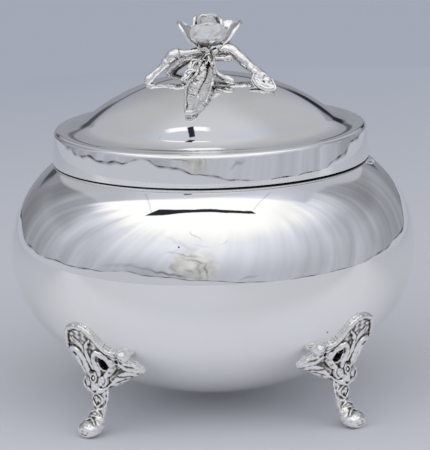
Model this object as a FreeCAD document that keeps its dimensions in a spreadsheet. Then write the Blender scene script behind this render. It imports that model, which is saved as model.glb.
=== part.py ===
import FreeCAD, Part
import math
import os
import Sketcher

# A round silver sugar bowl on four cast feet, with a lift-off lid and a rose finial.
# Millimetres. The origin is on the floor, under the middle of the bowl, with +Z up
# and the front of the bowl towards -Y.

SIZES = {
    # bowl
    "bowl_radius": 68.0,
    "bowl_depth": 48.3,
    "bowl_side_radius": 35.3,
    "shoulder_radius": 36.4,
    "bowl_wall": 0.9,
    "floor_clearance": 4.5,
    "mouth_radius": 51.3,
    # wire round the mouth
    "rim_radius": 52.9,
    "rim_width": 0.9,
    "rim_height": 0.35,
    "rim_edge_round": 0.4,
    # lid
    "lid_gap": 0.35,
    "band_radius": 53.0,
    "band_height": 10.7,
    "band_thickness": 1.0,
    "band_taper": 0.7,
    "band_edge_round": 1.6,
    "band_lip": 3.0,
    "dome_foot_radius": 49.7,
    "dome_rise": 17.5,
    "dome_crown_radius": 66.2,
    "dome_wall": 0.8,
    "bezel_gap": 0.4,
    "bezel_wall": 0.8,
    "bezel_drop": 5.0,
    "bezel_flange_height": 2.4,
    # feet
    "leg_stand_off": 8.8,
    "toe_reach": 9.0,
    "knee_height": 18.7,
    "toe_width": 7.8,
    "leg_depth": 6.6,
    "plate_height": 39.4,
    "plate_half_width": 17.0,
    "plate_thickness": 1.3,
    "plate_edge": 0.9,
    "flower_radius": 5.0,
    # finial
    "twig_reach": 20.6,
    "twig_rise": 8.4,
    "twig_thickness": 3.6,
    "sawn_end_length": 9.6,
    "sawn_end_width": 5.8,
    "sawn_end_depth": 3.2,
    "leaf_length": 34.5,
    "leaf_width": 9.6,
    "leaf_thickness": 1.1,
    "rose_offset": 0.75,
    "rose_base_rise": 10.0,
    "rose_height": 11.8,
    "rose_radius": 6.1,
    "petal_thickness": 0.8,
}

# Places worked out from the sizes above, as expressions of the sheet's cells.
BELLY_Z = "(Sizes.floor_clearance + Sizes.bowl_depth)"
SIDE_CENTRE = "(Sizes.bowl_radius - Sizes.bowl_side_radius)"
SHOULDER_CENTRE = "(Sizes.bowl_radius - Sizes.shoulder_radius)"
BOTTOM_RADIUS = (
    f"(({SIDE_CENTRE}^2 + Sizes.bowl_depth^2 - Sizes.bowl_side_radius^2)"
    " / (2 * (Sizes.bowl_depth - Sizes.bowl_side_radius)))"
)
BOTTOM_CENTRE_Z = f"(Sizes.floor_clearance + {BOTTOM_RADIUS})"
LEG_RADIUS = (
    f"(sqrt({BOTTOM_RADIUS}^2 - ({BOTTOM_CENTRE_Z} - Sizes.knee_height)^2)"
    " + Sizes.leg_stand_off)"
)
JOIN_SHARE = f"({SIDE_CENTRE} / ({BOTTOM_RADIUS} - Sizes.bowl_side_radius))"
DROP_SHARE = f"(({BOTTOM_RADIUS} - Sizes.bowl_depth) / ({BOTTOM_RADIUS} - Sizes.bowl_side_radius))"
RIM_INSIDE = "(Sizes.rim_radius - Sizes.rim_width)"
RIM_TOP_Z = (
    f"({BELLY_Z} + sqrt(Sizes.shoulder_radius^2 - ({RIM_INSIDE} - {SHOULDER_CENTRE})^2)"
    " + Sizes.rim_height)"
)
BAND_Z = f"({RIM_TOP_Z} + Sizes.lid_gap)"
LID_TOP_Z = f"({BAND_Z} + Sizes.band_height)"
BAND_INSIDE = "(Sizes.band_radius - Sizes.band_thickness)"
BAND_SHOULDER_Z = f"({LID_TOP_Z} - Sizes.band_edge_round)"
BAND_TAPER_SHARE = "(Sizes.band_taper / (Sizes.band_height - Sizes.band_edge_round))"
LIP_RADIUS = "(Sizes.band_radius - Sizes.band_lip)"
BEZEL_RADIUS = "(Sizes.mouth_radius - Sizes.bezel_gap)"
CROWN_CENTRE_Z = f"({LID_TOP_Z} + Sizes.dome_rise - Sizes.dome_crown_radius)"
SWEEP_RADIUS = (
    "((Sizes.dome_foot_radius^2 + Sizes.dome_rise^2) / (2 * Sizes.dome_rise)"
    " - Sizes.dome_crown_radius)"
)
SWEEP_SHARE = f"(Sizes.dome_foot_radius / (Sizes.dome_crown_radius + {SWEEP_RADIUS}))"
CROWN_SHARE = (
    f"(({LID_TOP_Z} + {SWEEP_RADIUS} - {CROWN_CENTRE_Z})"
    f" / (Sizes.dome_crown_radius + {SWEEP_RADIUS}))"
)

UP = FreeCAD.Vector(0, 0, 1)
OUTWARD = FreeCAD.Vector(1, 0, 0)
SIDEWAYS = FreeCAD.Vector(0, 1, 0)
ORIGIN = FreeCAD.Vector(0, 0, 0)


def make_sheet(doc):
    """Writes every size into its own cell, under its own name."""
    sheet = doc.addObject("Spreadsheet::Sheet", "Sizes")
    for row, (name, value) in enumerate(SIZES.items(), start=1):
        sheet.set(f"A{row}", name)
        sheet.set(f"B{row}", str(value))
        sheet.setAlias(f"B{row}", name)
    doc.recompute()
    return sheet


def size(sheet, name):
    """One size of the sheet, as a number."""
    return float(sheet.get(name))


def place(sheet, expression):
    """One worked-out place, as a number."""
    return float(sheet.evalExpression(expression))


# sketched rings and shells


def bound_profile(body, name, corners):
    """A closed sketch on the body's XZ plane. Each corner is (radius, height, arc), as
    expressions; arc is the radius of the edge that leads to the next corner, or None
    for a straight edge, with a minus sign in front where that arc turns clockwise."""
    sketch = body.newObject("Sketcher::SketchObject", name)
    plane = next(item for item in body.Origin.OriginFeatures if item.Role == "XZ_Plane")
    sketch.AttachmentSupport = (plane, [""])
    sketch.MapMode = "FlatFace"
    points = [FreeCAD.Vector(worth(sketch, x), worth(sketch, z), 0) for x, z, _ in corners]
    ends = []
    for index, (_, _, arc) in enumerate(corners):
        here = points[index]
        there = points[(index + 1) % len(points)]
        ends.append(add_edge(sketch, here, there, arc))
    for index, (x, z, _) in enumerate(corners):
        edge, start = ends[index][0], ends[index][1]
        before, finish = ends[index - 1][0], ends[index - 1][2]
        sketch.addConstraint(Sketcher.Constraint("Coincident", before, finish, edge, start))
        bind(sketch, ("DistanceX", edge, start), x)
        bind(sketch, ("DistanceY", edge, start), z)
    return sketch


def worth(sketch, expression):
    """The present value of an expression."""
    return float(sketch.evalExpression(expression))


def bind(sketch, where, expression):
    """Adds a dimension and ties it to the sheet; a zero place goes on the axis itself."""
    kind, edge, point = where
    if expression == "0" and kind == "DistanceX":
        sketch.addConstraint(Sketcher.Constraint("PointOnObject", edge, point, -2))
        return
    index = sketch.addConstraint(Sketcher.Constraint(kind, edge, point, worth(sketch, expression)))
    sketch.setExpression(f"Constraints[{index}]", expression)


def add_edge(sketch, here, there, arc):
    """Adds a line, or an arc of the given radius; returns it with its first and last point."""
    if arc is None:
        return sketch.addGeometry(Part.LineSegment(here, there), False), 1, 2
    clockwise = arc.startswith("-")
    radius = worth(sketch, arc.lstrip("-"))
    start, finish = (there, here) if clockwise else (here, there)
    half = (finish - start) * 0.5
    side = FreeCAD.Vector(-half.y, half.x, 0).normalize()
    centre = start + half + side * math.sqrt(max(radius**2 - half.Length**2, 0))
    circle = Part.Circle(centre, UP, radius)
    first = math.atan2(start.y - centre.y, start.x - centre.x)
    last = math.atan2(finish.y - centre.y, finish.x - centre.x)
    edge = sketch.addGeometry(Part.ArcOfCircle(circle, first, last), False)
    index = sketch.addConstraint(Sketcher.Constraint("Radius", edge, radius))
    sketch.setExpression(f"Constraints[{index}]", arc.lstrip("-"))
    return (edge, 2, 1) if clockwise else (edge, 1, 2)


def turned(doc, label, corners, hollow=None):
    """A body turned about the Z axis from one outline, with a second outline cut away."""
    body = doc.addObject("PartDesign::Body", label)
    body.Label = label
    solid = body.newObject("PartDesign::Revolution", f"{label}_turn")
    solid.Profile = bound_profile(body, f"{label}_outline", corners)
    solid.ReferenceAxis = (solid.Profile[0], ["V_Axis"])
    solid.Angle = 360
    if hollow:
        doc.recompute()
        groove = body.newObject("PartDesign::Groove", f"{label}_groove")
        groove.Profile = bound_profile(body, f"{label}_hollow", hollow)
        groove.ReferenceAxis = (groove.Profile[0], ["V_Axis"])
        groove.Angle = 360
    doc.recompute()
    return body


def bowl_corners(inset, top):
    """The bowl's outline, set in by a wall: bottom, side and shoulder are tangent arcs."""
    bottom = f"({BOTTOM_RADIUS} - {inset})"
    side = f"(Sizes.bowl_side_radius - {inset})"
    shoulder = f"(Sizes.shoulder_radius - {inset})"
    mouth_z = f"({BELLY_Z} + sqrt({shoulder}^2 - (Sizes.mouth_radius - {SHOULDER_CENTRE})^2))"
    return [
        ("0", f"Sizes.floor_clearance + {inset}", bottom),
        (f"{bottom} * {JOIN_SHARE}", f"{BOTTOM_CENTRE_Z} - {bottom} * {DROP_SHARE}", side),
        (f"Sizes.bowl_radius - {inset}", BELLY_Z, shoulder),
        ("Sizes.mouth_radius", mouth_z, None),
        *([("Sizes.mouth_radius", top, None)] if top else []),
        ("0", top or mouth_z, None),
    ]


def make_bowl_shell(doc):
    """The raised bowl: one sheet with an open mouth."""
    above = f"{BELLY_Z} + Sizes.shoulder_radius"
    return turned(doc, "bowl_shell", bowl_corners("0", None), bowl_corners("Sizes.bowl_wall", above))


def make_rim_wire(doc):
    """The wire soldered on the shoulder, which the lid's band stands over."""

    def shoulder_z(radius):
        return f"({BELLY_Z} + sqrt(Sizes.shoulder_radius^2 - ({radius} - {SHOULDER_CENTRE})^2))"

    outer = "Sizes.rim_radius"
    corners = [
        (RIM_INSIDE, RIM_TOP_Z, None),
        (RIM_INSIDE, shoulder_z(RIM_INSIDE), "-Sizes.shoulder_radius"),
        (outer, shoulder_z(outer), None),
        (outer, f"{RIM_TOP_Z} - Sizes.rim_edge_round", "Sizes.rim_edge_round"),
        (f"{outer} - Sizes.rim_edge_round", RIM_TOP_Z, None),
    ]
    return turned(doc, "bowl_rim_wire", corners)


def make_lid_dome(doc):
    """The spun dome: a crown arc that sweeps out into a flat foot."""

    def corners(inset):
        crown = f"(Sizes.dome_crown_radius - {inset})"
        sweep = f"({SWEEP_RADIUS} + {inset})"
        foot_z = f"{LID_TOP_Z} - {inset}"
        turn = (f"{crown} * {SWEEP_SHARE}", f"{CROWN_CENTRE_Z} + {crown} * {CROWN_SHARE}")
        return ("0", f"{CROWN_CENTRE_Z} + {crown}"), turn, ("Sizes.dome_foot_radius", foot_z), crown, sweep

    top, turn, foot, crown, sweep = corners("0")
    top_in, turn_in, foot_in, crown_in, sweep_in = corners("Sizes.dome_wall")
    return turned(doc, "lid_dome", [
        (*top, f"-{crown}"),
        (*turn, sweep),
        (*foot, None),
        (LIP_RADIUS, foot[1], None),
        (LIP_RADIUS, foot_in[1], None),
        (*foot_in, f"-{sweep_in}"),
        (*turn_in, crown_in),
        (*top_in, None),
    ])


def make_lid_band(doc):
    """The lid's wall, which leans in a little and turns in at the top to meet the dome."""
    inner_round = "(Sizes.band_edge_round - Sizes.band_thickness)"
    outside = "(Sizes.band_radius - Sizes.band_taper)"
    turn = f"{outside} - Sizes.band_edge_round"
    under = f"{LID_TOP_Z} - Sizes.band_thickness"
    return turned(doc, "lid_band", [
        (BAND_INSIDE, BAND_Z, None),
        ("Sizes.band_radius", BAND_Z, None),
        (outside, BAND_SHOULDER_Z, "Sizes.band_edge_round"),
        (turn, LID_TOP_Z, None),
        (LIP_RADIUS, LID_TOP_Z, None),
        (LIP_RADIUS, under, None),
        (turn, under, f"-{inner_round}"),
        (f"{BAND_INSIDE} - Sizes.band_taper", BAND_SHOULDER_Z, None),
    ])


def make_lid_bezel(doc):
    """The ring inside the band that drops into the bowl's mouth."""
    flange_z = f"{BAND_Z} + Sizes.bezel_flange_height"
    inside = f"{BEZEL_RADIUS} - Sizes.bezel_wall"
    flange_top = "(Sizes.bezel_flange_height + Sizes.bezel_wall)"
    flange_radius = f"{BAND_INSIDE} - {flange_top} * {BAND_TAPER_SHARE}"
    return turned(doc, "lid_bezel", [
        (inside, f"{BAND_Z} - Sizes.bezel_drop", None),
        (BEZEL_RADIUS, f"{BAND_Z} - Sizes.bezel_drop", None),
        (BEZEL_RADIUS, flange_z, None),
        (flange_radius, flange_z, None),
        (flange_radius, f"{BAND_Z} + {flange_top}", None),
        (inside, f"{BAND_Z} + {flange_top}", None),
    ])


# solids that the castings are made of and fitted to


def arc_through(centre, radius, first, last):
    """An arc in the XZ plane about a centre, between two angles in degrees from +X to +Z."""

    def at(angle):
        turn = math.radians(angle)
        return centre + FreeCAD.Vector(math.cos(turn), 0, math.sin(turn)) * radius

    return Part.Arc(at(first), at((first + last) / 2), at(last)).toShape()


def turned_face(edges):
    """The solid that a closed outline in the XZ plane sweeps about the Z axis."""
    return Part.Face(Part.Wire(Part.__sortEdges__(edges))).revolve(ORIGIN, UP, 360)


def bowl_solid(sheet, outset):
    """The bowl as a full body, grown by outset, up to its widest line and a little over."""
    side = size(sheet, "bowl_side_radius")
    bottom = place(sheet, BOTTOM_RADIUS)
    belly = place(sheet, BELLY_Z)
    side_centre = FreeCAD.Vector(place(sheet, SIDE_CENTRE), 0, belly)
    bottom_centre = FreeCAD.Vector(0, 0, place(sheet, BOTTOM_CENTRE_Z))
    meet = -math.degrees(math.acos(place(sheet, JOIN_SHARE)))
    edges = [
        arc_through(bottom_centre, bottom + outset, -90, meet),
        arc_through(side_centre, side + outset, meet, 0),
    ]
    widest = edges[-1].Vertexes[-1].Point
    if abs(widest.z - belly) > abs(edges[-1].Vertexes[0].Point.z - belly):
        widest = edges[-1].Vertexes[0].Point
    axis_top = FreeCAD.Vector(0, 0, belly)
    lowest = bottom_centre - UP * (bottom + outset)
    edges.append(Part.makeLine(widest, axis_top))
    edges.append(Part.makeLine(axis_top, lowest))
    return turned_face(edges)


def crown_solid(sheet, outset):
    """The ball that the lid's crown belongs to, grown by outset."""
    centre = UP * place(sheet, CROWN_CENTRE_Z)
    return Part.makeSphere(size(sheet, "dome_crown_radius") + outset, centre)


def crown_height(sheet, x, y):
    """Height of the lid's top over a place on the plan."""
    radius = size(sheet, "dome_crown_radius")
    return place(sheet, CROWN_CENTRE_Z) + math.sqrt(radius**2 - x**2 - y**2)


def add_piece(doc, label, shape, placement=None):
    """A named piece with a given shape."""
    piece = doc.addObject("Part::Feature", label)
    piece.Label = label
    piece.Shape = shape
    if placement:
        piece.Placement = placement
    return piece


def fused(shapes):
    """The shapes as one solid, with its seams cleaned."""
    whole = shapes[0]
    if len(shapes) > 1:
        whole = whole.fuse(shapes[1:])
    return biggest_solid(whole.removeSplitter())


def biggest_solid(shape):
    """The largest solid of a shape, without the crumbs that a cut can leave."""
    return max(shape.Solids, key=lambda solid: solid.Volume)


def oval(centre, tilt, depth, width):
    """An oval outline across a limb that runs at tilt degrees from straight up, in XZ."""
    matrix = FreeCAD.Matrix()
    matrix.scale(depth / 2, width / 2, 1)
    matrix.rotateY(math.radians(tilt))
    matrix.move(centre)
    circle = Part.Wire(Part.makeCircle(1))
    return circle.transformGeometry(matrix)


# feet

# (reach, height, width, depth, lean inwards in degrees) up the leg, from the toe: the
# places are shares of toe reach and knee height, the sections of toe width and leg depth
LEG_SHARES = (
    (1.02, 0.070, 0.46, 0.30, 92),
    (0.92, 0.080, 0.82, 0.56, 90),
    (0.68, 0.095, 0.98, 0.66, 84),
    (0.36, 0.150, 0.80, 0.58, 62),
    (0.12, 0.280, 0.54, 0.54, 32),
    (0.03, 0.46, 0.48, 0.58, 8),
    (0.02, 0.66, 0.62, 0.74, 4),
    (-0.04, 0.88, 0.86, 0.90, 16),
    (-0.26, 1.08, 1.02, 0.98, 38),
    (-0.72, 1.26, 1.15, 0.95, 53),
)

# (half width, height) round one side of the plate, from its lobe down to the leg, as
# shares of the plate's half width and height
PLATE_SHARES = (
    (0.0, 1.0),
    (0.16, 0.985),
    (0.32, 0.95),
    (0.43, 0.89),
    (0.48, 0.83),
    (0.55, 0.785),
    (0.66, 0.755),
    (0.79, 0.725),
    (0.86, 0.68),
    (0.96, 0.64),
    (1.0, 0.595),
    (0.93, 0.56),
    (0.72, 0.54),
    (0.44, 0.51),
    (0.0, 0.485),
)

# (side, height, width, length, lean) of the openings in one side of the plate
PIERCING_SHARES = (
    (0.29, 0.655, 0.15, 0.34, -28),
)

PETAL_COUNT = 5
FLOWER_HEIGHT_SHARE = 1.0
FLOWER_REACH_SHARE = 0.20
FLOWER_PETAL_SHARE = 0.46
FLOWER_RING_SHARE = 0.58
FLOWER_HEART_SHARE = 0.30
FLOWER_LEAN = 24
EDGE_INNER_SHARE = 0.80


def leg_solid(sheet):
    """The S-shaped leg with its toe, lofted through ovals."""
    ovals = []
    for reach, height, width, depth, lean in LEG_SHARES:
        out = place(sheet, LEG_RADIUS) + reach * size(sheet, "toe_reach")
        centre = FreeCAD.Vector(out, 0, height * size(sheet, "knee_height"))
        wide = width * size(sheet, "toe_width")
        deep = depth * size(sheet, "leg_depth")
        ovals.append(oval(centre, -lean, deep, wide))
    return Part.makeLoft(ovals, True, False)


def plate_prism(sheet, scale):
    """The plate's mirrored outline, run outwards through the bowl's side."""
    wide, tall = size(sheet, "plate_half_width"), size(sheet, "plate_height")
    heights = [height for _, height in PLATE_SHARES]
    middle = (max(heights) + min(heights)) / 2
    half = [(side * scale, middle + (height - middle) * scale) for side, height in PLATE_SHARES]
    both = half + [(-side, height) for side, height in reversed(half[1:-1])]
    near = place(sheet, LEG_RADIUS) / 2
    points = [FreeCAD.Vector(near, side * wide, height * tall) for side, height in both]
    curve = Part.BSplineCurve()
    curve.interpolate(points, PeriodicFlag=True)
    outline = Part.Face(Part.Wire(curve.toShape()))
    return outline.extrude(OUTWARD * size(sheet, "bowl_radius"))


def piercing(sheet, side, shares):
    """One oval opening through the plate."""
    across, height, width, length, lean = shares
    wide = size(sheet, "plate_half_width")
    matrix = FreeCAD.Matrix()
    matrix.scale(width * wide / 2, length * wide / 2, 1)
    matrix.rotateZ(math.radians(side * lean))
    matrix.rotateX(math.pi / 2)
    matrix.rotateZ(math.pi / 2)
    rise = height * size(sheet, "plate_height")
    matrix.move(FreeCAD.Vector(place(sheet, LEG_RADIUS) / 2, side * across * wide, rise))
    outline = Part.Face(Part.Wire(Part.makeCircle(1)).transformGeometry(matrix))
    return outline.extrude(OUTWARD * size(sheet, "bowl_radius"))


def flower_solids(sheet):
    """The flower on the knee: round petals about a bead."""
    radius = size(sheet, "flower_radius")
    out = place(sheet, LEG_RADIUS) + FLOWER_REACH_SHARE * size(sheet, "toe_reach")
    centre = FreeCAD.Vector(out, 0, FLOWER_HEIGHT_SHARE * size(sheet, "knee_height"))
    lean = FreeCAD.Rotation(SIDEWAYS, FLOWER_LEAN)
    solids = [Part.makeSphere(FLOWER_HEART_SHARE * radius, centre)]
    for index in range(PETAL_COUNT):
        turn = 2 * math.pi * index / PETAL_COUNT
        spoke = FreeCAD.Vector(0, math.sin(turn), math.cos(turn)) * (FLOWER_RING_SHARE * radius)
        petal = centre + lean.multVec(spoke)
        solids.append(Part.makeSphere(FLOWER_PETAL_SHARE * radius, petal))
    return solids


def foot_shape(sheet):
    """One casting in its own place along +X: plate, raised edge, flower, leg and toe."""
    thin = size(sheet, "plate_thickness")
    plate = plate_prism(sheet, 1).common(bowl_solid(sheet, thin))
    edge = plate_prism(sheet, 1).cut(plate_prism(sheet, EDGE_INNER_SHARE))
    edge = edge.common(bowl_solid(sheet, thin + size(sheet, "plate_edge")))
    casting = leg_solid(sheet).fuse([plate, edge, *flower_solids(sheet)])
    for shares in PIERCING_SHARES:
        for side in (-1, 1):
            casting = casting.cut(piercing(sheet, side, shares))
    casting = casting.cut(bowl_solid(sheet, 0))
    below = size(sheet, "bowl_radius") * 2
    floor = Part.makeBox(below, below, below, FreeCAD.Vector(0, -below / 2, -below))
    return biggest_solid(casting.cut(floor))


def make_feet(doc, sheet):
    """Four alike castings, halfway between front, back and sides."""
    shape = foot_shape(sheet)
    names = ("foot_back_right", "foot_back_left", "foot_front_left", "foot_front_right")
    for index, name in enumerate(names):
        angle = 360 / len(names) * (index + 1 / 2)
        add_piece(doc, name, shape, FreeCAD.Placement(ORIGIN, FreeCAD.Rotation(UP, angle)))


# finial

# (x, y, rise over the crown, thickness) along each limb: places are shares of the twig's
# reach, rises of its rise and thicknesses of its thickness
LEFT_ARM_SHARES = (
    (0.12, 0.0, 0.98, 1.20),
    (-0.12, 0.0, 0.90, 0.72),
    (-0.38, 0.01, 0.88, 0.66),
    (-0.55, 0.0, 0.91, 0.82),
    (-0.63, 0.0, 0.76, 0.70),
    (-0.73, 0.0, 0.54, 0.62),
    (-0.88, 0.0, 0.32, 0.62),
    (-0.98, 0.0, 0.15, 0.68),
)
RIGHT_ARM_SHARES = (
    (0.12, 0.0, 0.98, 1.20),
    (0.36, -0.05, 0.97, 1.04),
    (0.55, -0.13, 0.66, 0.92),
    (0.69, -0.20, 0.40, 0.84),
    (0.79, -0.32, 0.29, 0.90),
    (0.88, -0.44, 0.17, 1.00),
)
BACK_ARM_SHARES = (
    (0.05, 0.0, 0.92, 1.0),
    (-0.20, 0.12, 0.74, 0.92),
    (-0.43, 0.29, 0.48, 0.86),
    (-0.56, 0.46, 0.20, 0.84),
    (-0.61, 0.56, 0.05, 0.90),
)
STUB_SHARES = (
    (0.08, -0.17, 0.66, 0.52),
    (0.20, -0.23, 0.68, 0.44),
    (0.32, -0.24, 0.72, 0.48),
)
BUD_SHARES = (
    (0.03, -0.27, 0.66, 0.60),
    (0.06, -0.42, 0.48, 0.50),
    (0.13, -0.58, 0.31, 0.48),
    (0.24, -0.68, 0.25, 0.58),
    (0.33, -0.73, 0.22, 0.72),
)
KNOT_SHARE = 1.08
SAWN_END_PLACE_SHARES = (0.94, -0.58, 0.18)
SAWN_END_AIM = -38
SAWN_END_NOD = 42
SAWN_END_TURN = 21


def limb_point(sheet, x_share, y_share, rise_share):
    """A place over the crown."""
    x = x_share * size(sheet, "twig_reach")
    y = y_share * size(sheet, "twig_reach")
    return FreeCAD.Vector(x, y, crown_height(sheet, x, y) + rise_share * size(sheet, "twig_rise"))


def limb_solids(sheet, shares):
    """A knotty limb: a knot at each place, with a tapered stretch between two knots."""
    thick = size(sheet, "twig_thickness")
    points = [limb_point(sheet, x, y, rise) for x, y, rise, _ in shares]
    radii = [thickness * thick / 2 for *_, thickness in shares]
    solids = []
    for index, (point, radius) in enumerate(zip(points, radii)):
        along = points[min(index + 1, len(points) - 1)] - points[max(index - 1, 0)]
        solids.append(Part.makeSphere(radius * KNOT_SHARE, point, along))
    for start, finish, first, last in zip(points, points[1:], radii, radii[1:]):
        solids.append(tapered(start, finish - start, first, last))
    return solids


def tapered(start, run, first, last):
    """A round stretch from one radius to another."""
    if first == last:
        return Part.makeCylinder(first, run.Length, start, run)
    return Part.makeCone(first, last, run.Length, start, run)


def sawn_end(sheet):
    """The oval sawn end of the right arm, facing the front."""
    long, wide = size(sheet, "sawn_end_length"), size(sheet, "sawn_end_width")
    matrix = FreeCAD.Matrix()
    matrix.scale(long / 2, wide / 2, 1)
    face = Part.Face(Part.Wire(Part.makeCircle(1)).transformGeometry(matrix))
    slab = face.extrude(UP * -size(sheet, "sawn_end_depth"))
    turn = FreeCAD.Rotation(UP, SAWN_END_TURN)
    nod = FreeCAD.Rotation(SIDEWAYS, SAWN_END_NOD)
    aim = FreeCAD.Rotation(UP, SAWN_END_AIM)
    slab.Placement = FreeCAD.Placement(limb_point(sheet, *SAWN_END_PLACE_SHARES), aim * nod * turn)
    return slab


def make_branch(doc, sheet):
    """The cast branch: an arch on the crown with a third limb behind."""
    solids = limb_solids(sheet, LEFT_ARM_SHARES)
    solids += limb_solids(sheet, RIGHT_ARM_SHARES)
    solids += limb_solids(sheet, BACK_ARM_SHARES)
    solids.append(sawn_end(sheet))
    branch = fused(solids).cut(crown_solid(sheet, 0))
    return add_piece(doc, "finial_branch", biggest_solid(branch))


def make_twig(doc, sheet, label, shares, carrier):
    """A short twig, ended where it meets the casting that carries it."""
    twig = fused(limb_solids(sheet, shares)).cut(carrier.Shape).cut(crown_solid(sheet, 0))
    return add_piece(doc, label, biggest_solid(twig))


# leaves

LEAF_TEETH = 7
LEAF_TOOTH_SHARE = 0.10
LEAF_BOW_SHARE = 0.028
LEAF_FORM_SHARE = 0.75

# (x, y, rise) of stalk end and tip, and the leaf's length share and width share
BIG_LEAF_PLACES = ((0.0, -0.16, 0.74), (-0.37, -1.66, 0.10))
LEAFLET_PLACES = (
    ("finial_leaflet_upper", (-0.10, -0.16, 0.60), (-0.42, -0.24, 0.40), 0.36),
    ("finial_leaflet_lower", (-0.12, -0.30, 0.40), (-0.50, -0.48, 0.10), 0.40),
)


def leaf_outline(length, width):
    """A pointed outline with toothed sides, along +X."""
    steps = LEAF_TEETH * 2
    side = []
    for step in range(1, steps):
        share = step / steps
        half = width / 2 * math.sin(math.pi * share) ** LEAF_FORM_SHARE
        if step % 2 == 0:
            half -= LEAF_TOOTH_SHARE * width
        side.append(FreeCAD.Vector(share * length, half, 0))
    back = [FreeCAD.Vector(point.x, -point.y, 0) for point in reversed(side)]
    return Part.makePolygon([ORIGIN, *side, FreeCAD.Vector(length, 0, 0), *back, ORIGIN])


def leaf_solid(sheet, start, tip, width):
    """A bowed, toothed leaf from its stalk to its tip."""
    run = tip - start
    length, thick = run.Length, size(sheet, "leaf_thickness")
    sag = LEAF_BOW_SHARE * length
    middle = FreeCAD.Vector(length / 2, 0, -sag)
    lower = Part.Arc(ORIGIN, middle, FreeCAD.Vector(length, 0, 0)).toShape()
    lift = UP * thick
    upper = Part.Arc(lift, middle + lift, FreeCAD.Vector(length, 0, 0) + lift).toShape()
    ends = [Part.makeLine(edge, edge + lift) for edge in (ORIGIN, FreeCAD.Vector(length, 0, 0))]
    section = Part.Face(Part.Wire(Part.__sortEdges__([lower, upper, *ends])))
    section.translate(SIDEWAYS * (-width / 2))
    slab = section.extrude(SIDEWAYS * width)
    outline = Part.Face(leaf_outline(length, width))
    outline.translate(UP * -(sag + thick))
    leaf = slab.common(outline.extrude(UP * (sag + thick) * 3))
    flat = FreeCAD.Vector(run.x, run.y, 0)
    swing = FreeCAD.Rotation(OUTWARD, flat)
    dip = FreeCAD.Rotation(SIDEWAYS, math.degrees(math.atan2(-run.z, flat.Length)))
    leaf.Placement = FreeCAD.Placement(start, swing * dip)
    return leaf


def make_leaves(doc, sheet, carriers):
    """The large leaf on the front of the dome and the two leaflets beside it."""
    start, tip = [limb_point(sheet, *shares) for shares in BIG_LEAF_PLACES]
    run = tip - start
    tip = start + run * (size(sheet, "leaf_length") / run.Length)
    taken = [carrier.Shape for carrier in carriers]
    leaf = leaf_solid(sheet, start, tip, size(sheet, "leaf_width"))
    pieces = [("finial_leaf", leaf)]
    for name, near, far, width_share in LEAFLET_PLACES:
        ends = [limb_point(sheet, *shares) for shares in (near, far)]
        pieces.append((name, leaf_solid(sheet, *ends, size(sheet, "leaf_width") * width_share)))
    for name, shape in pieces:
        for other in taken:
            shape = shape.cut(other)
        shape = biggest_solid(shape.cut(crown_solid(sheet, 0)))
        add_piece(doc, name, shape)
        taken.append(shape)
    return taken


# rose

# (name, facing in degrees from the front, lean, spread, width and height) of each petal:
# angles in degrees, widths and heights as shares of the rose's radius and height
PETAL_SHARES = (
    ("rose_petal_front", 0, 4, 78, 0.95, 0.88),
    ("rose_petal_left", -86, 24, 62, 0.74, 1.12),
    ("rose_petal_right", 82, 38, 70, 0.92, 1.28),
    ("rose_petal_back", 180, 2, 72, 0.84, 1.05),
    ("rose_inner_petal_left", -138, -6, 44, 0.52, 1.0),
    ("rose_inner_petal_right", 134, -4, 40, 0.50, 0.93),
)
CUP_RADIUS_SHARE = 0.95
CUP_FOOT_ANGLE = -72
CUP_LIP_ANGLE = 16
LIP_RADIUS_SHARE = 0.30
LIP_SWEEP = 40
PETAL_MIDDLE_SHARE = 0.40
HEART_RADIUS_SHARE = 0.42
HEART_HEIGHT_SHARE = 0.54
CALYX_RADIUS_SHARE = 0.42


def rose_foot(sheet):
    """The place where the rose sits on the branch."""
    rise = size(sheet, "rose_base_rise")
    return FreeCAD.Vector(size(sheet, "rose_offset"), 0, crown_height(sheet, 0, 0) + rise)


def joined(one, other, end):
    """A line between the same ends of two edges."""
    return Part.makeLine(one.valueAt(getattr(one, end)), other.valueAt(getattr(other, end)))


def petal_section(sheet, tall):
    """A cupped section with its lip turned out, in the XZ plane, facing +X."""
    thick = size(sheet, "petal_thickness")
    cup = tall * CUP_RADIUS_SHARE / 2
    lip = tall * LIP_RADIUS_SHARE
    belly = size(sheet, "rose_radius") * CUP_RADIUS_SHARE
    low = -math.sin(math.radians(CUP_FOOT_ANGLE)) * cup
    cup_centre = FreeCAD.Vector(belly - cup, 0, low)
    turn = math.radians(CUP_LIP_ANGLE)
    lip_centre = cup_centre + FreeCAD.Vector(math.cos(turn), 0, math.sin(turn)) * (cup + lip)
    facing = 180 + CUP_LIP_ANGLE
    edges = [
        arc_through(cup_centre, cup, CUP_FOOT_ANGLE, CUP_LIP_ANGLE),
        arc_through(lip_centre, lip, facing, facing - LIP_SWEEP),
        arc_through(lip_centre, lip + thick, facing, facing - LIP_SWEEP),
        arc_through(cup_centre, cup - thick, CUP_FOOT_ANGLE, CUP_LIP_ANGLE),
    ]
    outer_cup, inner_lip, outer_lip, inner_cup = edges
    edges.append(joined(inner_lip, outer_lip, "LastParameter"))
    edges.append(joined(outer_cup, inner_cup, "FirstParameter"))
    return Part.Face(Part.Wire(Part.__sortEdges__(edges)))


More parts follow.
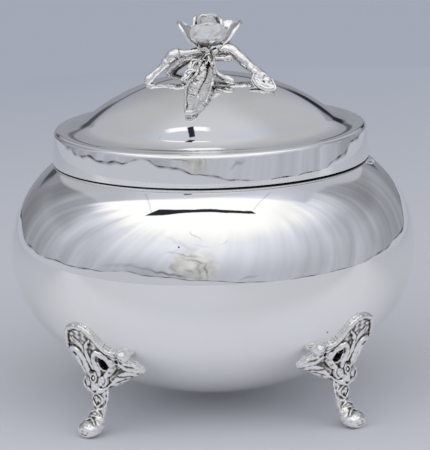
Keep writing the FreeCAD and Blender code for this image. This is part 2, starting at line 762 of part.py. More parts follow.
def petal_solid(sheet, facing, lean, spread, width_share, height_share):
    """A petal: the section swept about the rose's middle, then cut to an oval."""
    tall = size(sheet, "rose_height") * height_share
    wide = size(sheet, "rose_radius") * width_share
    section = petal_section(sheet, tall)
    section.rotate(ORIGIN, UP, -spread)
    blank = section.revolve(ORIGIN, UP, 2 * spread)
    middle = tall * PETAL_MIDDLE_SHARE
    matrix = FreeCAD.Matrix()
    matrix.scale(wide, tall - middle, 1)
    outline = Part.Wire(Part.makeCircle(1)).transformGeometry(matrix)
    prism = Part.Face(outline).extrude(UP * (size(sheet, "rose_radius") * 3))
    prism.Placement = FreeCAD.Placement(UP * middle, FreeCAD.Rotation(SIDEWAYS, UP, OUTWARD, "ZYX"))
    petal = blank.common(prism)
    tip = FreeCAD.Rotation(SIDEWAYS, lean)
    turn = FreeCAD.Rotation(UP, facing - 90)
    petal.Placement = FreeCAD.Placement(rose_foot(sheet), turn * tip)
    return petal


def make_rose(doc, sheet, taken):
    """The rose: calyx, heart and petals, each ended where it meets an earlier piece."""
    foot = rose_foot(sheet)
    radius = size(sheet, "rose_radius")
    heart_radius = radius * HEART_RADIUS_SHARE
    heart_top = foot + UP * (size(sheet, "rose_height") * HEART_HEIGHT_SHARE)
    calyx = Part.makeSphere(radius * CALYX_RADIUS_SHARE, foot)
    heart = fused([
        Part.makeCone(heart_radius / 2, heart_radius, (heart_top - foot).Length, foot, UP),
        Part.makeSphere(heart_radius, heart_top),
    ])
    pieces = [("rose_calyx", calyx), ("rose_heart", heart)]
    for name, *shares in PETAL_SHARES:
        pieces.append((name, petal_solid(sheet, *shares)))
    for name, shape in pieces:
        for other in taken:
            shape = shape.cut(other)
        shape = biggest_solid(shape)
        add_piece(doc, name, shape)
        taken.append(shape)


# whole part


def sub_parts(doc):
    """The pieces that are handed over: bodies, and features that no body holds."""
    kinds = ("PartDesign::Body", "Part::Feature")
    return [item for item in doc.Objects if item.TypeId in kinds]


def check(doc):
    """Stops if an object failed or a piece has no sound shape."""
    for item in doc.Objects:
        if "Invalid" in item.State or "Error" in item.State:
            raise RuntimeError(f"{item.Name} failed")
    for piece in sub_parts(doc):
        if piece.Shape.isNull() or not piece.Shape.isValid():
            raise RuntimeError(f"{piece.Label} has no sound shape")


def export(doc):
    """Writes one file for each piece."""
    os.makedirs("parts", exist_ok=True)
    for piece in sub_parts(doc):
        piece.Shape.exportStep(f"parts/{piece.Label}.step")
        box = piece.Shape.BoundBox
        print(f"{piece.Label:24s} solids {len(piece.Shape.Solids)} volume {piece.Shape.Volume:9.1f}"
              f" z {box.ZMin:6.1f} to {box.ZMax:6.1f}")


def build():
    """Makes the whole part."""
    doc = FreeCAD.newDocument("sugar_bowl")
    sheet = make_sheet(doc)
    make_bowl_shell(doc)
    make_rim_wire(doc)
    make_feet(doc, sheet)
    make_lid_dome(doc)
    make_lid_band(doc)
    make_lid_bezel(doc)
    branch = make_branch(doc, sheet)
    stub = make_twig(doc, sheet, "finial_twig_stub", STUB_SHARES, branch)
    bud = make_twig(doc, sheet, "finial_bud", BUD_SHARES, branch)
    taken = make_leaves(doc, sheet, [branch, stub, bud])
    make_rose(doc, sheet, taken)
    doc.recompute()
    check(doc)
    export(doc)


build()
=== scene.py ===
import functools
import math
import random

import bmesh
import bpy
import numpy as np
from mathutils import Matrix, Vector


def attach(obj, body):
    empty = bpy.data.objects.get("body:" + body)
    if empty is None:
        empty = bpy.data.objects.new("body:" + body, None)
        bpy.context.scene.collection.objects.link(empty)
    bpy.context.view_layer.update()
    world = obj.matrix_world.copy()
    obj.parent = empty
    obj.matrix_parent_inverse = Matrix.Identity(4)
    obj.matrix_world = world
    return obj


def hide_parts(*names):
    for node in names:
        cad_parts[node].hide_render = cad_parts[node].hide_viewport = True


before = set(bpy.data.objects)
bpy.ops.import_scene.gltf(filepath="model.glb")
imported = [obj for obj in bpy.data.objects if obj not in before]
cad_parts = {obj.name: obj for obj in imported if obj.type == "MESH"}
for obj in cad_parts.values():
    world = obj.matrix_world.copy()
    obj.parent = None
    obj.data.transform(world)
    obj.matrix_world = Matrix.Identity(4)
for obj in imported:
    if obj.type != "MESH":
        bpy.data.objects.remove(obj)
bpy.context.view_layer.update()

# A polished silver sugar bowl with a lift-off lid, in metres. The origin is on the floor
# under the middle of the bowl, with +Z up and the front of the bowl towards -Y.

MM = 0.001
DEGREES = 180 / math.pi

# bowl and lid: the same sizes as the solids
BOWL_RADIUS = 68.0 * MM
BOWL_DEPTH = 48.3 * MM
BOWL_SIDE_RADIUS = 35.3 * MM
SHOULDER_RADIUS = 36.4 * MM
BOWL_WALL = 0.9 * MM
FLOOR_CLEARANCE = 4.5 * MM
MOUTH_RADIUS = 51.3 * MM
RIM_RADIUS = 52.9 * MM
RIM_WIDTH = 0.9 * MM
RIM_HEIGHT = 1.05 * MM
LID_GAP = 0.35 * MM
BAND_RADIUS = 53.0 * MM
BAND_HEIGHT = 10.7 * MM
BAND_THICKNESS = 1.0 * MM
BAND_TAPER = 0.7 * MM
BAND_EDGE_ROUND = 1.6 * MM
BAND_LIP = 3.0 * MM
BAND_ROLL_END = math.radians(8)
DOME_FOOT_RADIUS = 49.7 * MM
DOME_RISE = 17.5 * MM
DOME_CROWN_RADIUS = 66.2 * MM
DOME_WALL = 0.8 * MM

# heights and centres that follow from them
BELLY_Z = FLOOR_CLEARANCE + BOWL_DEPTH
SIDE_CENTRE = BOWL_RADIUS - BOWL_SIDE_RADIUS
SHOULDER_CENTRE = BOWL_RADIUS - SHOULDER_RADIUS
BOTTOM_RADIUS = (SIDE_CENTRE**2 + BOWL_DEPTH**2 - BOWL_SIDE_RADIUS**2) / (2 * (BOWL_DEPTH - BOWL_SIDE_RADIUS))
BOTTOM_CENTRE_Z = FLOOR_CLEARANCE + BOTTOM_RADIUS
JOIN_ANGLE = math.acos(SIDE_CENTRE / (BOTTOM_RADIUS - BOWL_SIDE_RADIUS))
SHOULDER_TOP = math.acos((MOUTH_RADIUS - SHOULDER_CENTRE) / SHOULDER_RADIUS)
RIM_TOP_Z = BELLY_Z + math.sqrt(SHOULDER_RADIUS**2 - (BAND_RADIUS - SHOULDER_CENTRE) ** 2) + RIM_HEIGHT
BAND_Z = RIM_TOP_Z + LID_GAP
LID_TOP_Z = BAND_Z + BAND_HEIGHT
CROWN_CENTRE_Z = LID_TOP_Z + DOME_RISE - DOME_CROWN_RADIUS
SWEEP_RADIUS = (DOME_FOOT_RADIUS**2 + DOME_RISE**2) / (2 * DOME_RISE) - DOME_CROWN_RADIUS
SWEEP_ANGLE = math.asin(DOME_FOOT_RADIUS / (DOME_CROWN_RADIUS + SWEEP_RADIUS))

# the photograph's view
PHOTO_WIDTH = 430
PHOTO_HEIGHT = 450
BELLY_PIXEL = (213.3, 245.4)
MM_PER_PIXEL = 0.338
VIEW_DISTANCE = 952.0 * MM
VIEW_ELEVATION = math.radians(13.0)
VIEW_AZIMUTH = math.radians(-1.7)
VIEW_ROLL = math.radians(1.6)
SENSOR_HEIGHT = 24.0

SEED = 7


# camera, floor and studio


def make_camera():
    """A camera at the photograph's place, aimed so that the belly lands on its own pixel."""
    right = Vector((math.cos(VIEW_AZIMUTH), math.sin(VIEW_AZIMUTH), 0))
    level = Vector((math.sin(VIEW_AZIMUTH), -math.cos(VIEW_AZIMUTH), 0))
    back = level * math.cos(VIEW_ELEVATION) + Vector((0, 0, math.sin(VIEW_ELEVATION)))
    up = back.cross(right)
    belly = Vector((0, 0, BELLY_Z))
    place = belly + back * VIEW_DISTANCE
    rolled_right = right * math.cos(VIEW_ROLL) - up * math.sin(VIEW_ROLL)
    rolled_up = right * math.sin(VIEW_ROLL) + up * math.cos(VIEW_ROLL)
    pixel = MM_PER_PIXEL * MM
    aside = (PHOTO_WIDTH / 2 - BELLY_PIXEL[0]) * pixel
    above = (BELLY_PIXEL[1] - PHOTO_HEIGHT / 2) * pixel
    target = belly + rolled_right * aside + rolled_up * above
    back = (place - target).normalized()
    rolled_right = rolled_up.cross(back).normalized()
    rolled_up = back.cross(rolled_right)
    data = bpy.data.cameras.new("photo_camera")
    data.sensor_fit = "VERTICAL"
    data.sensor_height = SENSOR_HEIGHT
    data.lens = SENSOR_HEIGHT * VIEW_DISTANCE / (PHOTO_HEIGHT * pixel)
    camera = placed("photo_camera", data)
    turn = Matrix((rolled_right, rolled_up, back)).transposed().to_4x4()
    camera.matrix_world = Matrix.Translation(place) @ turn
    bpy.context.scene.camera = camera


class Formula:
    """A number in a node tree, so that a chain of Math nodes reads as a formula."""

    def __init__(self, tree, source):
        self.tree = tree
        self.source = source

    def math(self, operation, *others):
        made = self.tree.nodes.new("ShaderNodeMath")
        made.operation = operation
        for index, value in enumerate((self, *others)):
            put(self.tree, value, made.inputs[index])
        return Formula(self.tree, made.outputs[0])

    def __rsub__(self, other):
        return self * -1.0 + other

    def ramp(self, start, end, low=0.0, high=1.0):
        """A smooth step from low to high while the number goes from start to end."""
        limits = {"Value": self, "From Min": start, "From Max": end, "To Min": low, "To Max": high}
        made = node(self.tree, "MapRange", **limits)
        made.interpolation_type = "SMOOTHSTEP"
        return Formula(self.tree, made.outputs["Result"])

    def near(self, centre, far, close):
        """1 within a close distance of a centre, and 0 beyond a far one."""
        return (self - centre).abs().ramp(far, close)

    def towards(self, other, share):
        """This number, moved towards another by a share."""
        return self + (other - self) * share


MATH_NODES = {
    "__add__": "ADD", "__sub__": "SUBTRACT", "__mul__": "MULTIPLY", "__truediv__": "DIVIDE",
    "__pow__": "POWER", "abs": "ABSOLUTE", "asin": "ARCSINE", "sin": "SINE", "atan2": "ARCTAN2",
    "above": "GREATER_THAN", "below": "LESS_THAN", "least": "MINIMUM", "most": "MAXIMUM",
}
for method, math_node in MATH_NODES.items():
    setattr(Formula, method, functools.partialmethod(Formula.math, math_node))


def put(tree, value, socket):
    """Sets a socket to a number, or links it to a formula or another socket."""
    if isinstance(value, Formula):
        tree.links.new(value.source, socket)
    elif isinstance(value, bpy.types.NodeSocket):
        tree.links.new(value, socket)
    else:
        socket.default_value = value


def node(tree, kind, **inputs):
    """A new shader node, with its named inputs set or linked."""
    made = tree.nodes.new(f"ShaderNode{kind}")
    for name, value in inputs.items():
        put(tree, value, made.inputs[name])
    return made


def parts_of(tree, vector):
    """The three numbers of a vector socket."""
    return [Formula(tree, output) for output in node(tree, "SeparateXYZ", Vector=vector).outputs]


def object_place(tree):
    """A point's place in its own object, as a vector socket and as three numbers."""
    place = node(tree, "TexCoord").outputs["Object"]
    return place, *parts_of(tree, place)


def vector_of(tree, x, y, z=0.0):
    """A vector socket from three numbers."""
    return node(tree, "CombineXYZ", X=x, Y=y, Z=z).outputs[0]


def noise(tree, vector, scale, detail=2.0, roughness=0.5):
    """A noise between 0 and 1."""
    made = node(tree, "TexNoise", Vector=vector, Scale=scale, Detail=detail, Roughness=roughness)
    return Formula(tree, made.outputs["Fac"])


def mixed(tree, share, first, second):
    """A colour between two colours."""
    made = tree.nodes.new("ShaderNodeMix")
    made.data_type = "RGBA"
    colours = [socket for socket in made.inputs if socket.type == "RGBA"]
    put(tree, share, made.inputs[0])
    for socket, colour in zip(colours, (first, second)):
        put(tree, colour if isinstance(colour, bpy.types.NodeSocket) else (*colour, 1.0), socket)
    return next(socket for socket in made.outputs if socket.type == "RGBA")


def mixed_shaders(tree, share, first, second):
    """A shader between two nodes' shaders."""
    made = tree.nodes.new("ShaderNodeMixShader")
    for index, value in enumerate((share, first.outputs[0], second.outputs[0])):
        put(tree, value, made.inputs[index])
    return made


def scaled(tree, colour, factor):
    """A colour times a number."""
    made = tree.nodes.new("ShaderNodeVectorMath")
    made.operation = "SCALE"
    put(tree, colour, made.inputs[0])
    put(tree, factor, made.inputs["Scale"])
    return made.outputs[0]


# the tent round the table, as the silver shows it: angles in degrees, azimuth 0 at the
# front and elevation 0 level with the bowl
TENT_GREY = (0.965, 1.0, 1.115)
TENT_PALE = (0.99, 1.0, 1.04)
TENT_WARM = (1.0, 1.0, 0.998)
LINE_DARK = (0.022, 0.024, 0.036)
LAMP_WHITE = 1.1
# the table's colours, painted lighter at the front and darker far back, and lighter still where the silver
# mirrors it in front; then the table as the silver shows it under the cloth
FLOOR_NEAR = (0.525, 0.540, 0.594)
FLOOR_FAR = (0.376, 0.407, 0.485)
FLOOR_FRONT = (0.596, 0.612, 0.668)
FLOOR_FRONT_MIRRORED = (0.658, 0.672, 0.728)
FLOOR_MIRRORED = (0.532, 0.546, 0.604)
FLOOR_MIRRORED_BACK = (0.470, 0.488, 0.545)

# how bright the cloth is by azimuth, just over the floor and half way up
TENT_LOW = (
    (-180, 0.31), (-165, 0.29), (-150, 0.22), (-135, 0.3), (-115, 0.36), (-96, 0.43), (-78, 0.46),
    (-58, 0.44), (-42, 0.39), (-22, 0.5), (0, 0.5), (30, 0.5), (60, 0.46), (82, 0.47), (98, 0.42),
    (113, 0.33), (140, 0.31), (152, 0.26), (165, 0.29), (180, 0.31),
)
TENT_MIDDLE = (
    (-180, 0.4), (-150, 0.36), (-135, 0.33), (-125, 0.45), (-113, 0.41), (-98, 0.6), (-84, 0.62),
    (-65, 0.72), (-46, 0.8), (-20, 0.86), (0, 0.87), (30, 0.78), (50, 0.7), (70, 0.57), (86, 0.53),
    (96, 0.43), (108, 0.48), (121, 0.36), (135, 0.37), (150, 0.4), (180, 0.4),
)
TENT_BACK_LOW = 0.47
TENT_BACK_HIGH = 0.63
# where the cloth meets the floor, by azimuth
HORIZON = (
    (-180, -4), (-160, -3.5), (-142, -1), (-125, -0.8), (-104, -0.8), (-84, 1), (-66, 2.7), (-50, 4.8),
    (-38, 3.6), (-24, 3), (-10, 0.4), (8, -2.6), (30, -4.6), (55, -5.2), (78, -4.6), (98, -3.2),
    (130, -1.4), (151, 0.6), (180, -4),
)
# the dark seam over the front lamp: an arch by azimuth
SEAM_TOP = 73.5
SEAM_AZIMUTH = -8.0
SEAM_BEND = 0.0033
SEAM_HALF_WIDTH = 2.3
SEAM_ENDS = (-67, 44)
# creases in the cloth: two ends, each azimuth and elevation, half width and how dark
CREASES = (
    ((-20, 51), (-10, 41), 0.9, 0.4), ((-38, 44), (-8, 29), 3, 0.13), ((-28, 28), (-8, 23), 1.5, 0.28),
    ((-20, 22.5), (-6, 16.5), 1.3, 0.38), ((-9.5, 19), (-9.4, 1), 1.5, 0.3),
    ((-5.5, 17), (-5.6, 0), 0.9, 0.42), ((-27, 19), (-20, 3), 1.8, 0.2),
    ((2.3, 35), (8.6, 40.5), 0.9, 0.2), ((-52, 12), (-8, 1.5), 2.4, 0.3), ((-36, 8), (-18, 4), 1.4, 0.3),
    ((-66, 7), (-45, 13), 2.6, 0.16), ((11, 0), (22, 2), 1.3, 0.32), ((-33, 24), (-17, 33), 1.2, 0.14),
    ((-14, 36), (-3, 33), 1.2, 0.15), ((-17, 12), (-12, 8), 1.6, 0.22),
)
CREASE_SWAY = 7.0
# the crumpled patch of cloth at the front: middle and reach, in azimuth and elevation
PATCH_CENTRE = (-13.0, 14.0)
PATCH_REACH = (15.0, 19.0)
# lamp panel, ceiling and walls
PANEL_EDGE = 0.032
PANEL_LEFT_BEND = 0.66
PANEL_RIGHT_SHARE = 0.30
PANEL_LINE_STRENGTH = 0.2
CEILING_TONE = 0.50
CEILING_STRENGTH = 0.85
WALL_SHADE = -0.20
# the middles of the bright strip and the dark bar that the dome shows, as parts of a
# direction to the right and to the front
STRIP_SLANT = 0.28
STRIP_MIDDLE = (-0.15, -0.160)
BAR_MIDDLE = (-0.133, -0.152)


def azimuth_of(x, y):
    """Degrees round from the front, positive towards the right."""
    return x.atan2(y * -1.0) * DEGREES


def curve(tree, value, points):
    """A smooth curve through given points, read at a value."""
    made = node(tree, "FloatCurve")
    places, heights = zip(*points)
    first, last, low, high = min(places), max(places), min(heights), max(heights)
    line_points = made.mapping.curves[0].points
    for index, (place, height) in enumerate(points):
        at = ((place - first) / (last - first), (height - low) / (high - low))
        if index < 2:
            line_points[index].location = at
        else:
            line_points.new(*at)
    made.mapping.update()
    put(tree, (value - first) / (last - first), made.inputs["Value"])
    return Formula(tree, made.outputs[0]) * (high - low) + low


def streaks(tree, across, along, scale, detail=1.0):
    """Long smooth streaks in the cloth, from -0.5 to 0.5."""
    return noise(tree, vector_of(tree, across * scale, along * scale * 0.10), 1.0, detail) - 0.5


def cloth_tone(tree, azimuth, elevation, folds, sway):
    """How bright the cloth is in each direction, without the lamp and the ceiling."""
    around = azimuth.abs()
    low = curve(tree, azimuth, TENT_LOW)
    middle = curve(tree, azimuth + sway * 0.4, TENT_MIDDLE)
    cloth = low.towards(middle, elevation.ramp(1, 36))
    above = around.ramp(75, 128, 0.90, TENT_BACK_LOW)
    cloth = cloth.towards(above, elevation.ramp(28, 50))
    cloth = cloth.towards(TENT_BACK_HIGH, around.ramp(75, 128) * elevation.ramp(44, 76))
    depth = around.ramp(30, 100, 0.28, 0.85) * around.ramp(168, 138) * elevation.ramp(64, 46)
    return cloth * (folds * depth + 1.0)


def ceiling_share(elevation, around, front, right, up):
    """Where the pale ceiling shows, from 0 to 1: behind, between two straight sides."""
    aside = right / up.most(0.05)
    left_side = (aside + elevation.ramp(48, 18) * 0.32).ramp(-0.90, -0.82)
    right_side = (aside - elevation.ramp(52, 20) * 0.55).ramp(0.79, 0.71)
    share = left_side * right_side * front.ramp(0.02, -0.03)
    return share * elevation.ramp(12, 22) * elevation.ramp(70, 52) * around.ramp(172, 152)


def tent_light(tree, azimuth, elevation, front, right, up):
    """How bright the tent is in each direction: cloth, ceiling, walls and the lamp panel."""
    around = azimuth.abs()
    lean = azimuth - elevation * 0.28
    sway = streaks(tree, azimuth, elevation * 6.0, 0.02) * 14.0
    folds = streaks(tree, lean + sway * 0.35, elevation, 0.13)
    folds = folds + streaks(tree, lean, elevation, 0.34, 2.0) * 0.30
    cloth = cloth_tone(tree, azimuth, elevation, folds, sway)
    ceiling = ceiling_share(elevation, around, front, right, up)
    wall = (1.0 - ceiling) * front.ramp(-0.02, -0.30) * elevation.ramp(16, 26) * elevation.ramp(60, 50)
    cloth = cloth * (wall * around.ramp(172, 152) * WALL_SHADE + 1.0)
    cloth = cloth.towards(CEILING_TONE, ceiling * CEILING_STRENGTH)
    edge = front + right.least(0.0) ** 2.0 * PANEL_LEFT_BEND - right.ramp(0.50, 0.66) * 0.10 - PANEL_EDGE
    lower = (elevation + folds * around.ramp(20, 90, 6.0, 16.0)).ramp(around.ramp(0, 80, 33, 41), 54)
    panel = edge.ramp(-0.02, 0.015) * lower
    return cloth.towards(LAMP_WHITE, panel * right.ramp(0.34, 0.56, 1.0, PANEL_RIGHT_SHARE))


def crease(azimuth, elevation, first, last, width):
    """How close a direction lies to a crease between two others, from 0 to 1."""
    run = (last[0] - first[0], last[1] - first[1])
    length = run[0] ** 2 + run[1] ** 2
    across, up = azimuth - first[0], elevation - first[1]
    share = ((across * run[0] + up * run[1]) / length).most(0.0).least(1.0)
    off = (across - share * run[0]) ** 2.0 + (up - share * run[1]) ** 2.0
    return (off ** 0.5).ramp(width, 0.0) * (share * (math.pi * 0.84) + math.pi * 0.08).sin()


def dark_lines(tree, azimuth, elevation, front, right):
    """The tent's dark lines: its seam, the bar, the panel's sides and the wedges behind."""
    around = azimuth.abs()
    bend = azimuth - SEAM_AZIMUTH
    middle = SEAM_TOP - bend * bend * SEAM_BEND + streaks(tree, azimuth, 0.0, 0.03) * 3.0
    thick = azimuth.ramp(-66, -30, 2.0, 0.85) * SEAM_HALF_WIDTH
    seam = ((elevation - middle).abs() / thick).ramp(1.15, 0.8)
    seam = seam * azimuth.above(SEAM_ENDS[0]) * azimuth.below(SEAM_ENDS[1])
    bar = right.near(BAR_MIDDLE[0], 0.027, 0.018) * front.near(BAR_MIDDLE[1], 0.078, 0.064)
    left = (right + front * 0.207).near(-0.398, 0.010, 0.003) * front.near(0.0, 0.22, 0.18)
    lines = left + (right + front * 0.13).near(0.322, 0.010, 0.003) * front.near(0.07, 0.2, 0.18)
    wedge = around.near(162.0, 8, 3) * elevation.near(11.5, 5.0, 2.2)
    wedge = wedge.most(elevation.near(14.0, 2.2, 0.6) * around.ramp(160, 168) * 0.7)
    wedge = wedge * azimuth.ramp(-5, 5, 0.80, 1.15).least(1.0)
    return seam.most(bar).most(lines * PANEL_LINE_STRENGTH).most(wedge)


def crumpled(tree, azimuth, elevation):
    """The crumpled patch of cloth at the front: where it is, and how it shades."""
    across = (azimuth - PATCH_CENTRE[0]) / PATCH_REACH[0]
    up = (elevation - PATCH_CENTRE[1]) / PATCH_REACH[1]
    patch = (across ** 2.0 + up ** 2.0).ramp(1.25, 0.35)
    swell = noise(tree, vector_of(tree, azimuth * 0.10, elevation * 0.075), 1.6)
    shade = patch * (swell - 0.60) * 0.9
    swayed = azimuth + streaks(tree, elevation, azimuth, 0.12) * CREASE_SWAY
    raised = elevation + streaks(tree, azimuth, 0.0, 0.14) * 6.0
    for first, last, width, dark in CREASES:
        shade = shade - crease(swayed, raised, first, last, width) * dark
    return patch, shade + 1.0


def make_world():
    """Front-heavy white light for the table, and a tent of cloth for the silver to reflect."""
    world = bpy.data.worlds.new("studio")
    bpy.context.scene.world = world
    world.use_nodes = True
    tree = world.node_tree
    tree.nodes.clear()
    right, y, up = parts_of(tree, node(tree, "TexCoord").outputs["Generated"])
    azimuth, elevation, front = azimuth_of(right, y), up.asin() * DEGREES, y * -1.0
    around = azimuth.abs()
    light = tent_light(tree, azimuth, elevation, front, right, up)
    strip = (front - right * STRIP_SLANT).near(STRIP_MIDDLE[1], 0.036, 0.018)
    light = light.towards(LAMP_WHITE, strip * right.near(STRIP_MIDDLE[0], 0.175, 0.11))
    # the gap between two cloths right behind, pale above and shaded below
    ragged = elevation + streaks(tree, around * 14.0, elevation, 0.5) * 7.0
    light = light.towards(1.0, around.ramp(175, 177.5) * ragged.near(46.0, 7.0, 4.0))
    light = light * (around.ramp(173, 177) * ragged.near(32.0, 7.0, 3.0) * -0.45 + 1.0)
    patch, shade = crumpled(tree, azimuth, elevation)
    light = light * shade

    pale = mixed(tree, around.ramp(120, 145) * elevation.ramp(20, 40), TENT_GREY, TENT_PALE)
    tint = mixed(tree, patch.most(light.ramp(0.72, 1.0)), pale, TENT_WARM)
    floor = mixed(tree, around.ramp(90, 150), FLOOR_MIRRORED, FLOOR_MIRRORED_BACK)
    seen = mixed(tree, elevation.ramp(-16.0, -15.0), floor, scaled(tree, tint, light))
    seen = mixed(tree, dark_lines(tree, azimuth, elevation, front, right), seen, LINE_DARK)

    path = node(tree, "LightPath").outputs
    lamps = front.ramp(-0.25, 0.65, 0.62, 1.85) * up.ramp(0.55, 1.0, 1.0, 0.75)
    plain = node(tree, "Background", Strength=lamps, Color=(1.0, 1.0, 1.0, 1.0))
    painted = node(tree, "Background", Color=seen)
    distant = node(tree, "Background", Color=(*FLOOR_FAR, 1.0))
    lit = mixed_shaders(tree, path["Is Glossy Ray"], plain, painted)
    shown = mixed_shaders(tree, path["Is Camera Ray"], lit, distant)
    node(tree, "OutputWorld", Surface=shown.outputs[0])


FLOOR_RADIUS = 3.0
FLOOR_SEEN_IN_SILVER = 0.68
FLOOR_RIGHT_SHADE = -0.055
SWEEP_BELLY_HEIGHT = 0.058
SWEEP_REACH = 0.62
SWEEP_COLUMNS = 900
# how far under the edge of the paper each row of the dark gap lies, in metres
LINE_ROWS = (0, 0.002, 0.004, 0.006, 0.008, 0.011, 0.014, 0.018, 0.024, 0.04)


def make_sweep():
    """A glowing sheet in the colour of the lit table paper as it curves up to the cloth, with painted shade
    in the dark gap between them.

    Only the silver shows it, so that the gap lies lower in the lid than in the bowl."""
    degrees = np.linspace(-180, 180, SWEEP_COLUMNS, endpoint=False)
    run = spline(HORIZON, 8)
    turn = np.radians(degrees)
    waver = 0.5 * np.sin(7 * turn + 1) + 0.45 * np.sin(15 * turn + 2) + 0.16 * np.sin(29 * turn)
    rise = np.radians(np.interp(degrees, run[:, 0], run[:, 1]) + waver)
    height = SWEEP_BELLY_HEIGHT + SWEEP_REACH * np.tan(rise)
    width = 0.0125 + 0.006 * np.sin(11 * turn + 0.6) * np.sin(3 * turn + 2)
    depth = 0.72 + 0.34 * np.sin(9 * turn + 0.4) * np.sin(4 * turn - 0.9) + 0.22 * np.sin(37 * turn)
    # each row's painted shade of the dark gap, deepest at the paper's edge
    rows = [(height - down, np.clip(1.3 * (1 - down / width), 0, 1) * depth) for down in LINE_ROWS]
    rows.append((np.zeros_like(height), np.zeros_like(height)))
    across, along = np.sin(turn) * FLOOR_SEEN_IN_SILVER, -np.cos(turn) * FLOOR_SEEN_IN_SILVER
    points = np.vstack([np.stack([across, along, z], 1) for z, _ in rows])
    gap_shade = np.clip(np.concatenate([shade for _, shade in rows]), 0, 1)
    mesh = bpy.data.meshes.new("paper_sweep")
    mesh.from_pydata(points.tolist(), [], ring_faces(len(rows), SWEEP_COLUMNS))
    mesh.attributes.new("gap_shade", "FLOAT", "POINT").data.foreach_set("value", gap_shade.astype(np.float32))
    sweep = placed("paper_sweep", mesh)
    for kind in ("camera", "diffuse", "transmission", "shadow", "volume_scatter"):
        setattr(sweep, f"visible_{kind}", False)
    material, tree, _ = new_material("paper_sweep")
    tree.nodes.clear()
    _, x, y, _ = object_place(tree)
    paper = mixed(tree, azimuth_of(x, y).abs().ramp(90, 150), FLOOR_MIRRORED, FLOOR_MIRRORED_BACK)
    # the sheet glows with the lit paper's colour, painted light that only the silver shows, darkened by the
    # gap's painted shade
    glow = node(tree, "Emission", Color=mixed(tree, attribute_of(tree, "gap_shade"), paper, LINE_DARK))
    node(tree, "OutputMaterial", Surface=glow.outputs[0])
    material.cycles.emission_sampling = "NONE"
    mesh.materials.append(material)


def make_floor():
    """A pale table top, painted lighter towards the front and darker towards the back as the light falls off,
    with painted shade at the front right.
    """
    mesh = bpy.data.meshes.new("table_top")
    shape = bmesh.new()
    bmesh.ops.create_circle(shape, cap_ends=True, segments=96, radius=FLOOR_RADIUS)
    shape.to_mesh(mesh)
    shape.free()
    material, tree, shader = new_material("pale_table")
    _, x, y, _ = object_place(tree)
    # painted lighter towards the front and darker towards the back, where less light falls
    near = mixed(tree, y.ramp(-0.02, 0.75), FLOOR_NEAR, FLOOR_FAR)
    colour = mixed(tree, y.ramp(0.02, -0.15), near, FLOOR_FRONT)
    # painted shade at the front right
    colour = scaled(tree, colour, x.ramp(-0.05, 0.13) * y.ramp(0.04, -0.08) * FLOOR_RIGHT_SHADE + 1.0)
    glossy = Formula(tree, node(tree, "LightPath").outputs["Is Glossy Ray"])
    # painted brighter just in front of the bowl, only where the silver mirrors it
    mirrored = glossy * y.ramp(0.06, -0.05) * y.ramp(-0.15, -0.08)
    put(tree, mixed(tree, mirrored, colour, FLOOR_FRONT_MIRRORED), shader.inputs["Base Color"])
    shader.inputs["Roughness"].default_value = 0.55
    shader.inputs["Specular IOR Level"].default_value = 0.15
    beyond = glossy * ((x * x + y * y) ** 0.5).above(FLOOR_SEEN_IN_SILVER)
    blend = mixed_shaders(tree, beyond, shader, node(tree, "BsdfTransparent"))
    put(tree, blend.outputs[0], tree.nodes["Material Output"].inputs["Surface"])
    mesh.materials.append(material)
    placed("table_top", mesh)


# silver

SILVER = (0.928, 0.926, 0.922)
SILVER_DULL = (0.905, 0.898, 0.885)
SILVER_SHADE = (0.20, 0.18, 0.155)
CAST_SILVER = (0.900, 0.890, 0.868)
# near black: pits and deep tarnish, and also painted shade in the rim seam and in deep recesses
SILVER_BLACK = (0.020, 0.018, 0.016)
RIM_SEAM_Z = RIM_TOP_Z - 0.02 * MM
INSIDE_TOP_Z = RIM_SEAM_Z - 0.6 * MM
INSIDE_DULL = -0.34
BUMP_DISTANCE = 0.2 * MM


def new_material(name):
    """A material with an empty principled shader, its node tree and the shader."""
    material = bpy.data.materials.new(name)
    material.use_nodes = True
    return material, material.node_tree, material.node_tree.nodes["Principled BSDF"]


def attribute_of(tree, name):
    """A mesh attribute as a number."""
    made = node(tree, "Attribute")
    made.attribute_name = name
    return Formula(tree, made.outputs["Fac"])


def bumped(tree, shader, strength, height):
    """Gives a shader fine relief."""
    bump = node(tree, "Bump", Strength=strength, Distance=BUMP_DISTANCE, Height=height)
    put(tree, bump.outputs[0], shader.inputs["Normal"])


